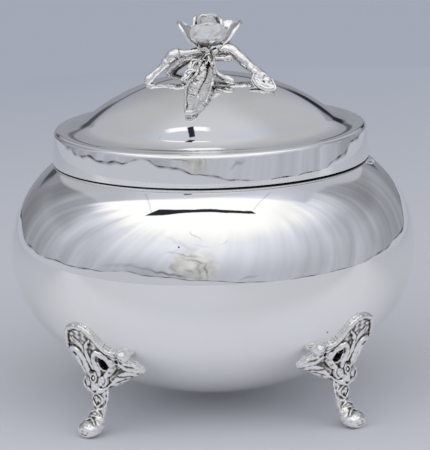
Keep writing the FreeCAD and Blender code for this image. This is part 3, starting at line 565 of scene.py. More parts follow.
def polished_silver():
    """Mirror-polished sheet: rubbing marks, pits, painted shade in the gap under the lid, and satin inside.
    """
    material, tree, shader = new_material("mirror_silver")
    place, x, y, z = object_place(tree)
    cloudy = noise(tree, place, 38.0, 3.0)
    speck = node(tree, "TexVoronoi", Vector=place, Scale=62.0)
    specks = Formula(tree, speck.outputs["Distance"]).ramp(0.030, 0.014)
    # painted shade in the gap at the rim wire, under the lid, thicker towards the right
    half = x.ramp(-0.045, 0.045, 0.34 * MM, 0.66 * MM)
    core = x.ramp(-0.045, 0.045, 0.12 * MM, 0.45 * MM)
    seam = z.near(RIM_SEAM_Z, half, core) * ((x * x + y * y) ** 0.5).below(RIM_RADIUS + 0.05 * MM)
    # dark pits, and the painted shade of the seam
    pits_and_seam_shade = specks.most(seam)
    colour = mixed(tree, cloudy.ramp(0.3, 0.8), SILVER, SILVER_DULL)
    put(tree, mixed(tree, pits_and_seam_shade, colour, SILVER_BLACK), shader.inputs["Base Color"])
    facing_x, facing_y, facing_z = parts_of(tree, node(tree, "NewGeometry").outputs["Normal"])
    outwards = x * facing_x + y * facing_y - facing_z * 0.5 * MM
    inside = outwards.below(0.0) * z.below(INSIDE_TOP_Z)
    put(tree, inside * INSIDE_DULL + 1.0, shader.inputs["Metallic"])
    fine = noise(tree, place, 420.0, 3.0)
    gloss = cloudy.ramp(0.3, 0.75, 0.012, 0.035) + fine * 0.012 + pits_and_seam_shade * 0.3
    put(tree, gloss + inside * (cloudy * 0.12 + 0.20), shader.inputs["Roughness"])
    bumped(tree, shader, 0.012, noise(tree, place, 700.0) - specks * 4.0)
    return material


def cast_silver():
    """Cast silver: bright where it is rubbed, brownish and then black in the recesses from tarnish and
    painted shade, and darker underneath from painted shade.
    """
    material, tree, shader = new_material("cast_silver")
    place, *_ = object_place(tree)
    cloudy = noise(tree, place, 300.0, 3.0)
    # how dark each point is: tarnish and painted shade from the mesh, spread by a cloud
    depth = attribute_of(tree, "shade_and_tarnish") + (cloudy - 0.5) * 0.18
    shade = depth.ramp(0.16, 0.62)
    colour = mixed(tree, shade, CAST_SILVER, SILVER_SHADE)
    put(tree, mixed(tree, depth.ramp(0.60, 1.15), colour, SILVER_BLACK), shader.inputs["Base Color"])
    shader.inputs["Metallic"].default_value = 1.0
    put(tree, shade * 0.22 + cloudy * 0.09 + 0.075, shader.inputs["Roughness"])
    bumped(tree, shader, 0.22, noise(tree, place, 1100.0, 3.0, 0.6))
    return material


# turned pieces

TURN_STEPS = 288
SHARP_EDGE = math.radians(35)
SAME_POINT = 1e-7


def arc(centre_r, centre_z, radius, first, last, steps):
    """Points of a profile arc, as (radius, height), between two angles in radians."""
    angles = np.linspace(first, last, steps + 1)
    return [(centre_r + radius * math.cos(a), centre_z + radius * math.sin(a)) for a in angles]


def line(start, end, steps):
    """Points of a straight stretch of a profile."""
    return [tuple(p) for p in np.linspace(start, end, steps + 1)]


def joined(*stretches):
    """One profile from stretches that meet, with each shared point once."""
    points = []
    for stretch in stretches:
        for point in stretch:
            if not points or math.dist(point, points[-1]) > SAME_POINT:
                points.append(point)
    return points


def turned(name, profile, closed, wave=0.0):
    """A mesh turned about Z from a profile that starts at the axis or closes on itself."""
    rng = random.Random(f"{SEED} {name}")
    waves = [(rng.randint(2, 9), rng.uniform(0, 2 * math.pi), rng.uniform(60, 190), rng.uniform(0.4, 1.0))
             for _ in range(7)]
    shape = bmesh.new()
    rows = []
    for r, z in profile:
        if r < SAME_POINT:
            rows.append([shape.verts.new((0, 0, z))] * TURN_STEPS)
            continue
        row = []
        for step in range(TURN_STEPS):
            turn = 2 * math.pi * step / TURN_STEPS
            swell = sum(k * math.sin(n * turn + p + z * f) for n, p, f, k in waves) * wave / len(waves)
            reach = r - abs(wave) + swell
            row.append(shape.verts.new((reach * math.cos(turn), reach * math.sin(turn), z)))
        rows.append(row)
    pairs = list(zip(rows, rows[1:]))
    if closed:
        pairs.append((rows[-1], rows[0]))
    for low, high in pairs:
        for step in range(TURN_STEPS):
            after = (step + 1) % TURN_STEPS
            corners = list(dict.fromkeys((low[step], low[after], high[after], high[step])))
            if len(corners) > 2:
                shape.faces.new(corners)
    bmesh.ops.recalc_face_normals(shape, faces=shape.faces)
    for face in shape.faces:
        face.smooth = True
    for edge in shape.edges:
        edge.smooth = edge.is_manifold and edge.calc_face_angle(0) < SHARP_EDGE
    mesh = bpy.data.meshes.new(name)
    shape.to_mesh(mesh)
    shape.free()
    return placed(name, mesh)


def bowl_profile(inset):
    """The bowl's outline from the axis at the bottom to the mouth, set in by a wall."""
    return joined(
        arc(0, BOTTOM_CENTRE_Z, BOTTOM_RADIUS - inset, -math.pi / 2, -JOIN_ANGLE, 34),
        arc(SIDE_CENTRE, BELLY_Z, BOWL_SIDE_RADIUS - inset, -JOIN_ANGLE, 0, 30),
        arc(SHOULDER_CENTRE, BELLY_Z, SHOULDER_RADIUS - inset, 0, SHOULDER_TOP, 34),
    )


def make_shell(name, outline, wall, wave, material, body, node_name):
    """A turned sheet with a thickness, from its outline at an inset."""
    profile = outline(0) + outline(wall)[::-1]
    dress(turned(name, profile, False, wave * MM), material, body, "polished_silver", node_name)


def placed(name, data):
    """A new object in the scene, for a mesh or a camera."""
    thing = bpy.data.objects.new(name, data)
    bpy.context.scene.collection.objects.link(thing)
    return thing


def smooth_mesh(name, points, faces):
    """A smooth mesh from points in millimetres."""
    mesh = bpy.data.meshes.new(name)
    mesh.from_pydata((np.asarray(points) * MM).tolist(), [], faces)
    mesh.update()
    mesh.polygons.foreach_set("use_smooth", np.ones(len(mesh.polygons), bool))
    return mesh


def dress(piece, material, body, slot, *nodes):
    """Gives a piece its material and its body, and hides the nodes that it stands for; the slot is not used.
    """
    piece.data.materials.clear()
    piece.data.materials.append(material)
    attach(piece, body)
    if nodes:
        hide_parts(*nodes)


# the wire's free end: degrees round from the front, radius, drop and thickness, in millimetres
WIRE_END = (
    (72, 52.55, 0.5, 0.4), (76, 52.9, 0.55, 0.46), (79, 53.6, 0.65, 0.5), (80.6, 54.2, 1, 0.48),
    (80.9, 54.5, 1.7, 0.4),
)


def make_rim_wire(material):
    """The round wire on the shoulder under the lid, and its free end."""
    half = RIM_WIDTH / 2
    profile = arc(RIM_RADIUS - half, RIM_TOP_Z - half, half, 0, 2 * math.pi, 24)[:-1]
    wire = turned("bowl_rim_moulding", profile, True)
    dress(wire, material, "bowl", "polished_silver", "bowl_rim_wire")
    clay = Clay()
    rows = []
    for degrees, radius, drop, thick in WIRE_END:
        turn = math.radians(degrees)
        rows.append((radius * math.sin(turn), -radius * math.cos(turn), RIM_TOP_Z / MM - drop, thick))
    clay.tube(rows, steps=6, sides=14)
    end = placed("rim_wire_end", smooth_mesh("rim_wire_end", clay.points, clay.faces))
    dress(end, material, "bowl", "polished_silver")


def dome_profile(inset):
    """The dome's outline, set in by a wall: a crown that sweeps out into a flat foot."""
    slope = math.pi / 2 - SWEEP_ANGLE
    level = LID_TOP_Z - inset
    return joined(
        arc(0, CROWN_CENTRE_Z, DOME_CROWN_RADIUS - inset, math.pi / 2, slope, 60),
        arc(DOME_FOOT_RADIUS, LID_TOP_Z + SWEEP_RADIUS, SWEEP_RADIUS + inset, slope + math.pi,
            1.5 * math.pi, 30),
        line((DOME_FOOT_RADIUS, level), (BAND_RADIUS - BAND_LIP, level), 2),
    )


def make_band(material):
    """The lid's wall: upright below, leaning in above, and rolled over at the top."""
    outside = BAND_RADIUS - BAND_TAPER
    shoulder = LID_TOP_Z - BAND_EDGE_ROUND
    profile = joined(
        line((BAND_RADIUS - BAND_LIP, LID_TOP_Z), (outside - BAND_EDGE_ROUND, LID_TOP_Z), 2),
        arc(outside - BAND_EDGE_ROUND, shoulder, BAND_EDGE_ROUND, math.pi / 2, BAND_ROLL_END, 14),
        leaning_wall(outside, shoulder),
        line((BAND_RADIUS - BAND_THICKNESS, BAND_Z), (outside - BAND_THICKNESS, shoulder), 3),
        line((outside - BAND_THICKNESS, LID_TOP_Z - BAND_THICKNESS),
             (BAND_RADIUS - BAND_LIP, LID_TOP_Z - BAND_THICKNESS), 2),
    )
    band = turned("lid_band_sheet", profile, True, wave=0.008 * MM)
    dress(band, material, "lid", "polished_silver", "lid_band")


def leaning_wall(outside, shoulder):
    """The band's outer face, from its rolled edge down, bellied so that only its top leans."""
    top = outside - BAND_EDGE_ROUND + BAND_EDGE_ROUND * math.cos(BAND_ROLL_END)
    top_z = shoulder + BAND_EDGE_ROUND * math.sin(BAND_ROLL_END)
    return [(BAND_RADIUS - (BAND_RADIUS - top) * (1 - share) ** 1.7, top_z + (BAND_Z - top_z) * share)
            for share in np.linspace(0, 1, 19)]


# castings: closed shapes in millimetres, joined into one skin


def spline(rows, steps):
    """A smooth run of rows through the given rows, with a number of steps between two."""
    rows = np.asarray(rows, float)
    padded = np.vstack([2 * rows[0] - rows[1], rows, 2 * rows[-1] - rows[-2]])
    run = []
    for before, first, last, after in zip(padded, padded[1:], padded[2:], padded[3:]):
        for t in np.arange(steps) / steps:
            bend = 2 * before - 5 * first + 4 * last - after
            turn = -before + 3 * first - 3 * last + after
            run.append(first + 0.5 * ((last - before) * t + bend * t**2 + turn * t**3))
    run.append(rows[-1])
    return np.array(run)


def unit(vector):
    """A vector of length one."""
    vector = np.asarray(vector, float)
    return vector / max(np.linalg.norm(vector), 1e-12)


def ring_faces(rows, sides, closed=False):
    """Faces between rings of points that follow each other, and from the last to the first."""
    faces = []
    for row in range(rows if closed else rows - 1):
        low, high = row * sides, (row + 1) % rows * sides
        for step in range(sides):
            after = (step + 1) % sides
            faces.append((low + step, low + after, high + after, high + step))
    return faces


def circle(centre, first, second, count):
    """Points round an ellipse, from its centre and two half axes."""
    turn = np.arange(count) * 2 * math.pi / count
    return centre + np.outer(np.cos(turn), first) + np.outer(np.sin(turn), second)


class Clay:
    """Closed shapes that are put together before they become one casting."""

    def __init__(self):
        self.points = []
        self.faces = []

    def add(self, points, faces):
        start = len(self.points)
        self.points.extend(np.asarray(points, float).tolist())
        self.faces.extend([start + int(index) for index in face] for face in faces)

    def tube(self, rows, steps=5, sides=12, closed=False):
        """A round tube through rows of x, y, z and radius, with domed ends or closed on itself."""
        run = spline([*rows, rows[0]] if closed else rows, steps)
        if closed:
            run = run[:-1]
        centres, radii = run[:, :3], np.maximum(run[:, 3], 0.02)
        along = np.roll(centres, -1, 0) - np.roll(centres, 1, 0)
        if not closed:
            along[0], along[-1] = centres[1] - centres[0], centres[-1] - centres[-2]
        side = unit(np.cross(along[0], (0.3, 0.5, 0.8)))
        stations = [(c, r, unit(a)) for c, r, a in zip(centres, radii, along)]
        if not closed:
            first, last = stations[0], stations[-1]
            domes = [(math.sin(a), math.cos(a)) for a in np.radians((72, 45, 20))]
            start = [(first[0] - first[2] * first[1] * out, first[1] * k, first[2]) for out, k in domes]
            end = [(last[0] + last[2] * last[1] * out, last[1] * k, last[2]) for out, k in domes[::-1]]
            stations = start + stations + end
        rings = []
        for centre, radius, axis in stations:
            side = unit(side - axis * np.dot(side, axis))
            rings.append(circle(centre, side * radius, np.cross(axis, side) * radius, sides))
        self.rings(rings, closed)

    def strand(self, centre, axes, rows, **shape):
        """A tube through rows of distances along three axes from a centre, and a radius."""
        rows = np.asarray(rows, float)
        self.tube(np.hstack([centre + rows[:, :3] @ np.asarray(axes, float), rows[:, 3:]]), **shape)

    def ring(self, centre, first, second, radius):
        """A tube round an ellipse, from its centre and two half axes."""
        rows = np.column_stack([circle(centre, first, second, 8), np.full(8, radius)])
        self.tube(rows, steps=4, sides=10, closed=True)

    def rings(self, rings, closed=False):
        """A skin over rings of points, closed at both ends or on itself."""
        sides, count = len(rings[0]), len(rings)
        faces = ring_faces(count, sides, closed)
        if not closed:
            faces.append(tuple(range(sides))[::-1])
            faces.append(tuple(range((count - 1) * sides, count * sides)))
        self.add(np.vstack(rings), faces)

    def blob(self, centre, axes, sides=16):
        """An ellipsoid from three half axes, or from three half lengths along X, Y and Z."""
        across, along, up = np.diag(axes) if np.ndim(axes) == 1 else np.asarray(axes, float)
        turns = [(math.sin(turn), math.cos(turn)) for turn in np.linspace(-1, 1, 9) * math.radians(84)]
        self.rings([circle(np.asarray(centre) + up * rise, across * out, along * out, sides)
                    for rise, out in turns])

    def ball(self, centre, radius):
        """A ball."""
        self.blob(centre, (radius, radius, radius))

    def sheet(self, top, bottom, mask=None):
        """A closed sheet between two grids of points, in the squares whose corners a mask has."""
        mask = np.ones(top.shape[:2], bool) if mask is None else mask
        rows, columns = mask.shape
        cells = mask[:-1, :-1] & mask[1:, :-1] & mask[:-1, 1:] & mask[1:, 1:]
        used = np.zeros(mask.shape, bool)
        for down, right in ((0, 0), (1, 0), (0, 1), (1, 1)):
            used[down:rows - 1 + down, right:columns - 1 + right] |= cells
        count = int(used.sum())
        index = np.zeros(mask.shape, int)
        index[used] = np.arange(count)
        borders = ((-1, 0, 0, 1), (0, 1, 1, 2), (1, 0, 2, 3), (0, -1, 3, 0))
        faces = []
        for row, column in zip(*np.nonzero(cells)):
            square = (index[row, column], index[row, column + 1],
                      index[row + 1, column + 1], index[row + 1, column])
            faces.append(square)
            faces.append([count + corner for corner in reversed(square)])
            for down, right, first, last in borders:
                r, c = row + down, column + right
                if not (0 <= r < rows - 1 and 0 <= c < columns - 1 and cells[r, c]):
                    here, there = square[first], square[last]
                    faces.append((there, here, here + count, there + count))
        self.add(np.vstack([top[used], bottom[used]]), faces)


def read(items, what, kind, width):
    """One property of a mesh's items, as rows of an array."""
    values = np.empty(len(items) * width, kind)
    items.foreach_get(what, values)
    return values.reshape(-1, width)


def skinned(clay, voxel, rounds):
    """The clay as one closed mesh of quads, in millimetres, smoothed in some rounds."""
    mesh = bpy.data.meshes.new("clay")
    mesh.from_pydata(clay.points, [], clay.faces)
    mesh.update()
    lump = placed("clay", mesh)
    remesh = lump.modifiers.new("skin", "REMESH")
    remesh.mode = "VOXEL"
    remesh.voxel_size = voxel
    shape = lump.evaluated_get(bpy.context.evaluated_depsgraph_get()).to_mesh()
    faces = read(shape.loops, "vertex_index", int, 1).reshape(-1, 4)
    skin = Skin(read(shape.vertices, "co", float, 3), faces, read(shape.edges, "vertices", int, 2))
    lump.to_mesh_clear()
    bpy.data.objects.remove(lump)
    bpy.data.meshes.remove(mesh)
    skin.smooth(rounds)
    return skin


# rounds of averaging that find fine and broad hollows
FINE_ROUNDS = 3
BROAD_ROUNDS = 14


class Skin:
    """A closed mesh of quads that can be smoothed, pushed and measured."""

    def __init__(self, points, faces, edges):
        self.points, self.faces, self.edges = points, faces, edges
        self.degree = np.bincount(edges.ravel(), minlength=len(points))

    def average(self, values):
        """Each point's mean over its neighbours."""
        a, b = self.edges.T
        mean = np.empty_like(values)
        for column in range(values.shape[1]):
            total = np.bincount(a, values[b, column], len(values))
            total = total + np.bincount(b, values[a, column], len(values))
            mean[:, column] = total / self.degree
        return mean

    def smooth(self, rounds):
        """Evens the skin out without shrinking it much."""
        for _ in range(rounds):
            self.points = self.points + 0.5 * (self.average(self.points) - self.points)
            self.points = self.points - 0.52 * (self.average(self.points) - self.points)

    def normals(self):
        """A unit normal at each point."""
        a, b, c, d = (self.points[self.faces[:, corner]] for corner in range(4))
        flat = np.cross(c - a, d - b)
        total = np.zeros_like(self.points)
        for corner in range(4):
            for column in range(3):
                total[:, column] += np.bincount(self.faces[:, corner], flat[:, column], len(total))
        return total / np.maximum(np.linalg.norm(total, axis=1), 1e-12)[:, None]

    def shade_and_tarnish(self, fine, broad, under):
        """How dark each point is: tarnish and painted shade by how deep it lies in fine and broad relief, and
        painted shade underneath.
        """
        normals, mean = self.normals(), self.points
        weights = {FINE_ROUNDS: fine, BROAD_ROUNDS: broad}
        # painted shade on faces that look down
        total = np.clip(-normals[:, 2] * 1.3 - 0.25, 0, 1) * under
        for turn in range(1, BROAD_ROUNDS + 1):
            mean = self.average(mean)
            if turn in weights:
                total = total + ((mean - self.points) * normals).sum(1) * weights[turn]
        return total

    def push(self, amounts):
        """Moves each point along its normal."""
        self.points = self.points + self.normals() * amounts[:, None]


def ripple(points, scale, seed):
    """A smooth noise between -1 and 1 at each point, from a few waves in all directions."""
    rng = np.random.default_rng(seed)
    total = np.zeros(len(points))
    for _ in range(9):
        aim = unit(rng.normal(size=3)) * rng.uniform(0.6, 1.5) / scale
        total += np.sin(points @ aim * 2 * math.pi + rng.uniform(0, 2 * math.pi))
    return total / 4.5


def turned_about(points, degrees):
    """Points turned about the Z axis."""
    turn = math.radians(degrees)
    c, s = math.cos(turn), math.sin(turn)
    return points @ np.array(((c, s, 0), (-s, c, 0), (0, 0, 1)))


def cast_piece(name, skin, shade_and_tarnish, material, body, *nodes):
    """A casting from a skin, with how dark each point is kept for its material."""
    mesh = smooth_mesh(name, skin.points, skin.faces.tolist())
    mesh.attributes.new("shade_and_tarnish", "FLOAT", "POINT").data.foreach_set("value", shade_and_tarnish.astype(np.float32))
    dress(placed(name, mesh), material, body, "cast_silver", *nodes)


# feet, in millimetres in a foot's own frame: +X outwards, Y across, Z up

LEG_RADIUS = 55.24
TOE_REACH = 8.4
KNEE_HEIGHT = 18.7
TOE_WIDTH = 7.8
LEG_DEPTH = 6.6
FOOT_AZIMUTHS = {"back_right": 45, "back_left": 135, "front_left": 225, "front_right": 315}
MIRRORED_FEET = ("front_right", "back_left")

# reach, height, width, depth up the leg, as shares of toe reach, knee height, toe width
# and leg depth, from the tip of the toe
LEG_SECTIONS = (
    (1.09, 0.13, 0.34, 0.28), (1.03, 0.138, 0.68, 0.56), (0.86, 0.142, 0.95, 0.8), (0.62, 0.16, 1, 0.86),
    (0.39, 0.24, 0.92, 0.8), (0.2, 0.35, 0.76, 0.68), (0.08, 0.46, 0.66, 0.6), (0.03, 0.58, 0.72, 0.62),
    (0.02, 0.72, 0.86, 0.68), (0, 0.86, 1, 0.76), (-0.16, 1, 1.1, 0.8), (-0.5, 1.14, 1.2, 0.74),
    (-0.92, 1.26, 1.24, 0.66),
)

# half of the plate's outline from its top round to the leg: across and height
PLATE_OUTLINE = (
    (0, 39.2), (2.8, 38.7), (5, 37.2), (6.6, 34.7), (7.5, 32.5), (8.7, 30.8), (10.4, 30), (12.2, 30.5),
    (13.9, 30.3), (14.9, 29), (14.4, 27.7), (12.6, 27.2), (11, 27), (10.8, 26.2), (12.2, 25.4),
    (13.8, 24.5), (14.9, 23.1), (14.6, 21.7), (12, 20.6), (9, 19.3), (6.4, 17.9), (4.2, 16.6), (0, 15.8),
)

PLATE_OUTER_OUTLINE = (*PLATE_OUTLINE[:6], (9.6, 28.6), (10.8, 27.0), *PLATE_OUTLINE[14:])

# openings through half of the plate: across, height, half width, half length, lean
PLATE_HOLES = ((4.3, 25.3, 1.25, 2.5, 8), (8.9, 26.4, 0.45, 1.3, 30))

# raised scrolls of half of the plate: points of across, height and radius
PLATE_SCROLLS = (
    (
        (1.9, 20.6, 0.8), (1.9, 23.4, 0.9), (2, 26.3, 0.95), (3, 28.6, 1), (4.9, 29.4, 1.1),
        (6.6, 28.4, 1.15), (7, 26.2, 1.05), (6.2, 23.8, 0.95), (4.8, 22, 0.85), (3.6, 20.8, 0.7),
    ),
    ((0, 23, 0.6), (0, 26.5, 0.75), (0.2, 29.5, 0.7), (1.4, 32, 0.7), (3.2, 33.8, 0.4)),
    (
        (8, 28.9, 0.6), (9.2, 27.4, 0.7), (9.4, 25.4, 0.9), (10.8, 23.9, 1.1), (12.6, 23.4, 1.1),
        (13.8, 22.8, 0.7),
    ),
    ((6.6, 20.8, 0.5), (8.8, 21.5, 0.85), (11, 21.6, 0.75), (13, 21.9, 0.5)),
    ((4.6, 18.6, 0.5), (6.4, 19.8, 0.7), (8.6, 20.2, 0.5)),
)
# a bead in relief on the outer lobe: across, height, radius and swell
PLATE_BEAD = (13.0, 28.9, 1.7, 0.8)
FOOT_VOXEL = 0.2
FLOOR_GAP = 0.02
# how fine the plate's grid is, where its back lies, and how thick its ground and sheet are
PLATE_STEP = 0.2
PLATE_SINK = -0.25
PLATE_RISE = 0.6
PLATE_SHEET = 1.2
# a ball on the bead: across, height and radius
PLATE_BALL = (13.1, 28.9, 1.45)
# how much wider the plate's outer half is drawn
PLATE_OUTER_SHARE = 1.22
# the plate's reach and height at the knee and at its top
KNEE_REACH, KNEE_LEVEL = 56.3, 19.0
LOBE_REACH, LOBE_LEVEL = 64.2, 36.5


def plate_side(across):
    """How far a place is from the plate's middle, as if its outer half weren't drawn wider."""
    return np.where(across < 0, -across / PLATE_OUTER_SHARE, across)


def stand_off(side, height):
    """How far the plate stands off the bowl: straight from its top round out to the knee."""
    slope = (LOBE_REACH - KNEE_REACH) / (LOBE_LEVEL - KNEE_LEVEL)
    reach = KNEE_REACH + slope * (height - KNEE_LEVEL)
    gap = np.clip(reach - bowl_radius_at(height), 0, 11)
    return gap / (1 + (side / 6.8) ** 4)


def bowl_radius_at(height):
    """The bowl's outer radius at a height, both in millimetres."""
    height = np.asarray(height, float)
    drop = np.clip(BOTTOM_CENTRE_Z / MM - height, 0, None)
    below = np.sqrt(np.clip((BOTTOM_RADIUS / MM) ** 2 - drop**2, 0, None))
    side = (BOWL_SIDE_RADIUS / MM) ** 2 - (height - BELLY_Z / MM) ** 2
    above = SIDE_CENTRE / MM + np.sqrt(np.clip(side, 0, None))
    join = (BOTTOM_CENTRE_Z - BOTTOM_RADIUS * math.sin(JOIN_ANGLE)) / MM
    return np.where(height < join, below, above)


def on_bowl(across, height, out):
    """Points over the plate's ground in a foot's frame, from across, height and distance out."""
    across, height = np.asarray(across, float), np.asarray(height, float)

    def reach_at(level):
        return bowl_radius_at(level) + stand_off(plate_side(across), level)

    turn = across / bowl_radius_at(height)
    slope = (reach_at(height + 0.4) - reach_at(height - 0.4)) / 0.8
    tilt = np.sqrt(1 + slope**2)
    reach = reach_at(height) + out / tilt
    return np.stack([reach * np.cos(turn), reach * np.sin(turn), height - out * slope / tilt], -1)


def inside(outline, x, y):
    """Which places lie inside a closed outline."""
    within = np.zeros(x.shape, bool)
    for (x0, y0), (x1, y1) in zip(outline, np.roll(outline, -1, 0)):
        crosses = (y0 > y) != (y1 > y)
        with np.errstate(divide="ignore", invalid="ignore"):
            within ^= crosses & (x < (x1 - x0) * (y - y0) / (y1 - y0) + x0)
    return within


def plate_relief(clay):
    """The pierced plate: scrolls and beads over a thin ground that follows the bowl."""
    inner, outer = spline(PLATE_OUTLINE, 6), spline(PLATE_OUTER_OUTLINE, 6)
    outline = np.vstack([inner, (outer * (-1, 1))[-2:0:-1]])
    across, height = np.meshgrid(np.arange(-19.6, 16.4, PLATE_STEP), np.arange(15.2, 40.0, PLATE_STEP))
    side = plate_side(across)
    mask = inside(outline, np.where(across < 0, across / PLATE_OUTER_SHARE, across), height)
    for x, y, wide, long, lean in PLATE_HOLES:
        turn = math.radians(lean)
        dx, dy = side - x, height - y
        u = dx * math.cos(turn) - dy * math.sin(turn)
        v = dx * math.sin(turn) + dy * math.cos(turn)
        mask &= (u / wide) ** 2 + (v / long) ** 2 > 1
    rise = np.full(across.shape, PLATE_RISE)
    for rows in PLATE_SCROLLS:
        best = np.zeros(across.shape)
        for x, y, r in spline(rows, 7):
            best = np.maximum(best, np.maximum(r, 0.2) ** 2 - (side - x) ** 2 - (height - y) ** 2)
        rise = np.maximum(rise, PLATE_RISE - 0.15 + 1.35 * np.sqrt(best))
    x, y, r, lift = PLATE_BEAD
    bead = np.clip(r**2 - (side - x) ** 2 - (height - y) ** 2, 0, None)
    rise = np.maximum(rise, PLATE_RISE + lift * np.sqrt(bead) * 1.3)
    edge = np.full(across.shape, 9.0)
    signed = np.where(across < 0, -side, side)
    for x, y in outline:
        edge = np.minimum(edge, np.hypot(signed - x, height - y))
    roll = np.sqrt(np.clip(0.81 - (edge - 0.85) ** 2, 0, 1)) * np.clip((height - 26.0) / 3.0, 0.45, 1)
    rise = np.where(edge < 1.75, np.maximum(rise, PLATE_RISE + 0.85 * roll), rise)
    rise = rise * np.clip(0.35 + edge / 0.9, 0, 1) ** 0.7
    low = np.maximum(-PLATE_SHEET, PLATE_SINK - stand_off(side, height) * 0.7)
    clay.sheet(on_bowl(across, height, rise), on_bowl(across, height, low), mask)
    clay.ball(on_bowl(PLATE_BALL[0], PLATE_BALL[1], 0.9), PLATE_BALL[2])


def leg_point(rows, share, turn, lift=0.0):
    """A point on the leg's skin: share along it, turn about it with 0 at its front."""
    at = share * (len(rows) - 1)
    low = min(int(at), len(rows) - 2)
    x, z, wide, deep = rows[low] + (rows[low + 1] - rows[low]) * (at - low)
    run = unit(rows[min(low + 2, len(rows) - 1), :2] - rows[max(low - 1, 0), :2])
    front = np.array((run[1], -run[0]))
    out = front * (deep / 2 + lift) * math.cos(turn)
    return np.array((x + out[0], (wide / 2 + lift) * math.sin(turn), z + out[1]))


# raised marks on the leg, closed, single or in a mirrored pair: rows of share along it, turn
# about it and radius
LEG_MARKS = (
    # lozenge and the bead in it
    ("closed", ((0.515, 0, 0.36), (0.57, 0.62, 0.38), (0.625, 0.78, 0.38), (0.69, 0, 0.4),
                (0.625, -0.78, 0.38), (0.57, -0.62, 0.38))),
    ("single", ((0.575, 0, 0.3), (0.605, 0, 0.5), (0.64, 0, 0.3))),
    # crossed leaves and a tie under it
    ("pair", ((0.495, 0.8, 0.26), (0.47, 0.2, 0.36), (0.44, -0.4, 0.36), (0.41, -0.95, 0.26))),
    ("single", ((0.385, -1.15, 0.25), (0.37, 0, 0.38), (0.385, 1.15, 0.25))),
    # side beads of the shin, and the forked end over the toe
    ("pair", ((0.53, 1.3, 0.26), (0.6, 1.45, 0.36), (0.68, 1.4, 0.4), (0.75, 1.2, 0.45))),
    ("pair", ((0.33, 0, 0.36), (0.29, 0.45, 0.32), (0.25, 0.7, 0.2))),
)
LEG_SIDES = 30
MARK_LIFT = 0.06


def leg_clay(clay):
    """The S-shaped leg: a lozenge and crossed leaves on its shin, and a smooth toe."""
    sections = np.array(LEG_SECTIONS) * (TOE_REACH, KNEE_HEIGHT, TOE_WIDTH, LEG_DEPTH)
    sections[:, 0] += LEG_RADIUS
    sections = spline(sections, 6)
    turns = [2 * math.pi * step / LEG_SIDES for step in range(LEG_SIDES)]
    shares = [index / (len(sections) - 1) for index in range(len(sections))]
    clay.rings([np.array([leg_point(sections, share, turn) for turn in turns]) for share in shares])
    for kind, rows in LEG_MARKS:
        for sign in (1, -1) if kind == "pair" else (1,):
            marks = [(*leg_point(sections, share, turn * sign, MARK_LIFT), r) for share, turn, r in rows]
            clay.tube(marks, closed=kind == "closed")


FLOWER_CENTRE = (57.9, 0.0, 19.3)
FLOWER_LEAN = -12
FLOWER_RING = 3.0
FLOWER_PETAL = 2.55
# a leaf under the flower: distances aside, up and to the front of it, and radius
KNEE_LEAF = ((0.5, -3.6, -0.6, 0.8), (2.1, -4, -0.6, 1), (3.9, -2.9, -1.1, 0.7), (5.3, -1.7, -1.8, 0.35))


def flower_clay(clay):
    """The flower on the knee: five broad cupped petals about a ringed bead, over two leaves."""
    lean = math.radians(FLOWER_LEAN)
    front = np.array((math.cos(lean), 0, -math.sin(lean)))
    up = np.array((math.sin(lean), 0, math.cos(lean)))
    side = np.array((0, 1, 0))
    centre = np.array(FLOWER_CENTRE)
    lip_turns = np.radians((-62, -31, 0, 31, 62))
    for index in range(5):
        turn = 2 * math.pi * (index + 0.35) / 5
        spoke = side * math.sin(turn) + up * math.cos(turn)
        other = np.cross(front, spoke)
        grown = FLOWER_PETAL * (1 + 0.10 * math.sin(2.3 * index + 1))
        middle = centre + spoke * FLOWER_RING - front * (0.15 + 0.25 * (index % 2))
        tilted = unit(front + spoke * 0.28)
        clay.blob(middle, (unit(spoke - front * 0.28) * grown, other * grown * 0.88, tilted * 0.95))
        rim = grown - 0.35
        lip = [(rim * math.cos(a), rim * math.sin(a) * 0.9, 0.12, 0.42) for a in lip_turns]
        clay.strand(middle, (spoke, other, front), lip, steps=4, sides=10)
    clay.ring(centre + front * 0.8, side * 1.3, up * 1.3, 0.38)
    clay.blob(centre - front * 0.2, (side * 1.4, up * 1.4, front * 0.75))
    clay.ball(centre + front * 0.62, 0.55)
    for sign in (-1, 1):
        clay.strand(centre, (side * sign, up, front), KNEE_LEAF)


def behind_plate(points):
    """How far points lie behind the plate's ground, from 0 to 1.2, for painted shade there."""
    x, y, z = points.T
    reach = np.hypot(x, y)
    across = np.arctan2(y, x) * bowl_radius_at(z)
    ground = bowl_radius_at(z) + stand_off(plate_side(across), z)
    share = np.clip((ground - 0.1 - reach) / 0.9, 0, 1) * np.clip((z - 17.5) / 2, 0, 1)
    return 1.2 * share * np.clip((reach - 40) / 3, 0, 1)


def make_feet(material):
    """Four castings from one skin, each turned to its own side."""
    clay = Clay()
    plate_relief(clay)
    leg_clay(clay)
    flower_clay(clay)
    skin = skinned(clay, FOOT_VOXEL, 3)
    above = np.clip(skin.points[:, 2] - 1.0, 0, 1)
    skin.push((ripple(skin.points, 2.8, 11) * 0.13 + ripple(skin.points, 1.4, 12) * 0.02) * above)
    skin.points[:, 2] = np.maximum(skin.points[:, 2], FLOOR_GAP)
    # painted shade: the feet darker overall than the finial, mottled, and darker still behind the plate and
    # in its openings
    mottled_foot_shade = 0.26 + 0.08 * ripple(skin.points, 3.5, 13)
    shade_and_tarnish = skin.shade_and_tarnish(7.0, 3.2, 0.40) + behind_plate(skin.points) + mottled_foot_shade
    for name, azimuth in FOOT_AZIMUTHS.items():
        flip = -1 if name in MIRRORED_FEET else 1
        foot = Skin(turned_about(skin.points * (1, flip, 1), azimuth), skin.faces[:, ::flip], skin.edges)
        cast_piece(f"casting_{name}", foot, shade_and_tarnish, material, "bowl", f"foot_{name}")


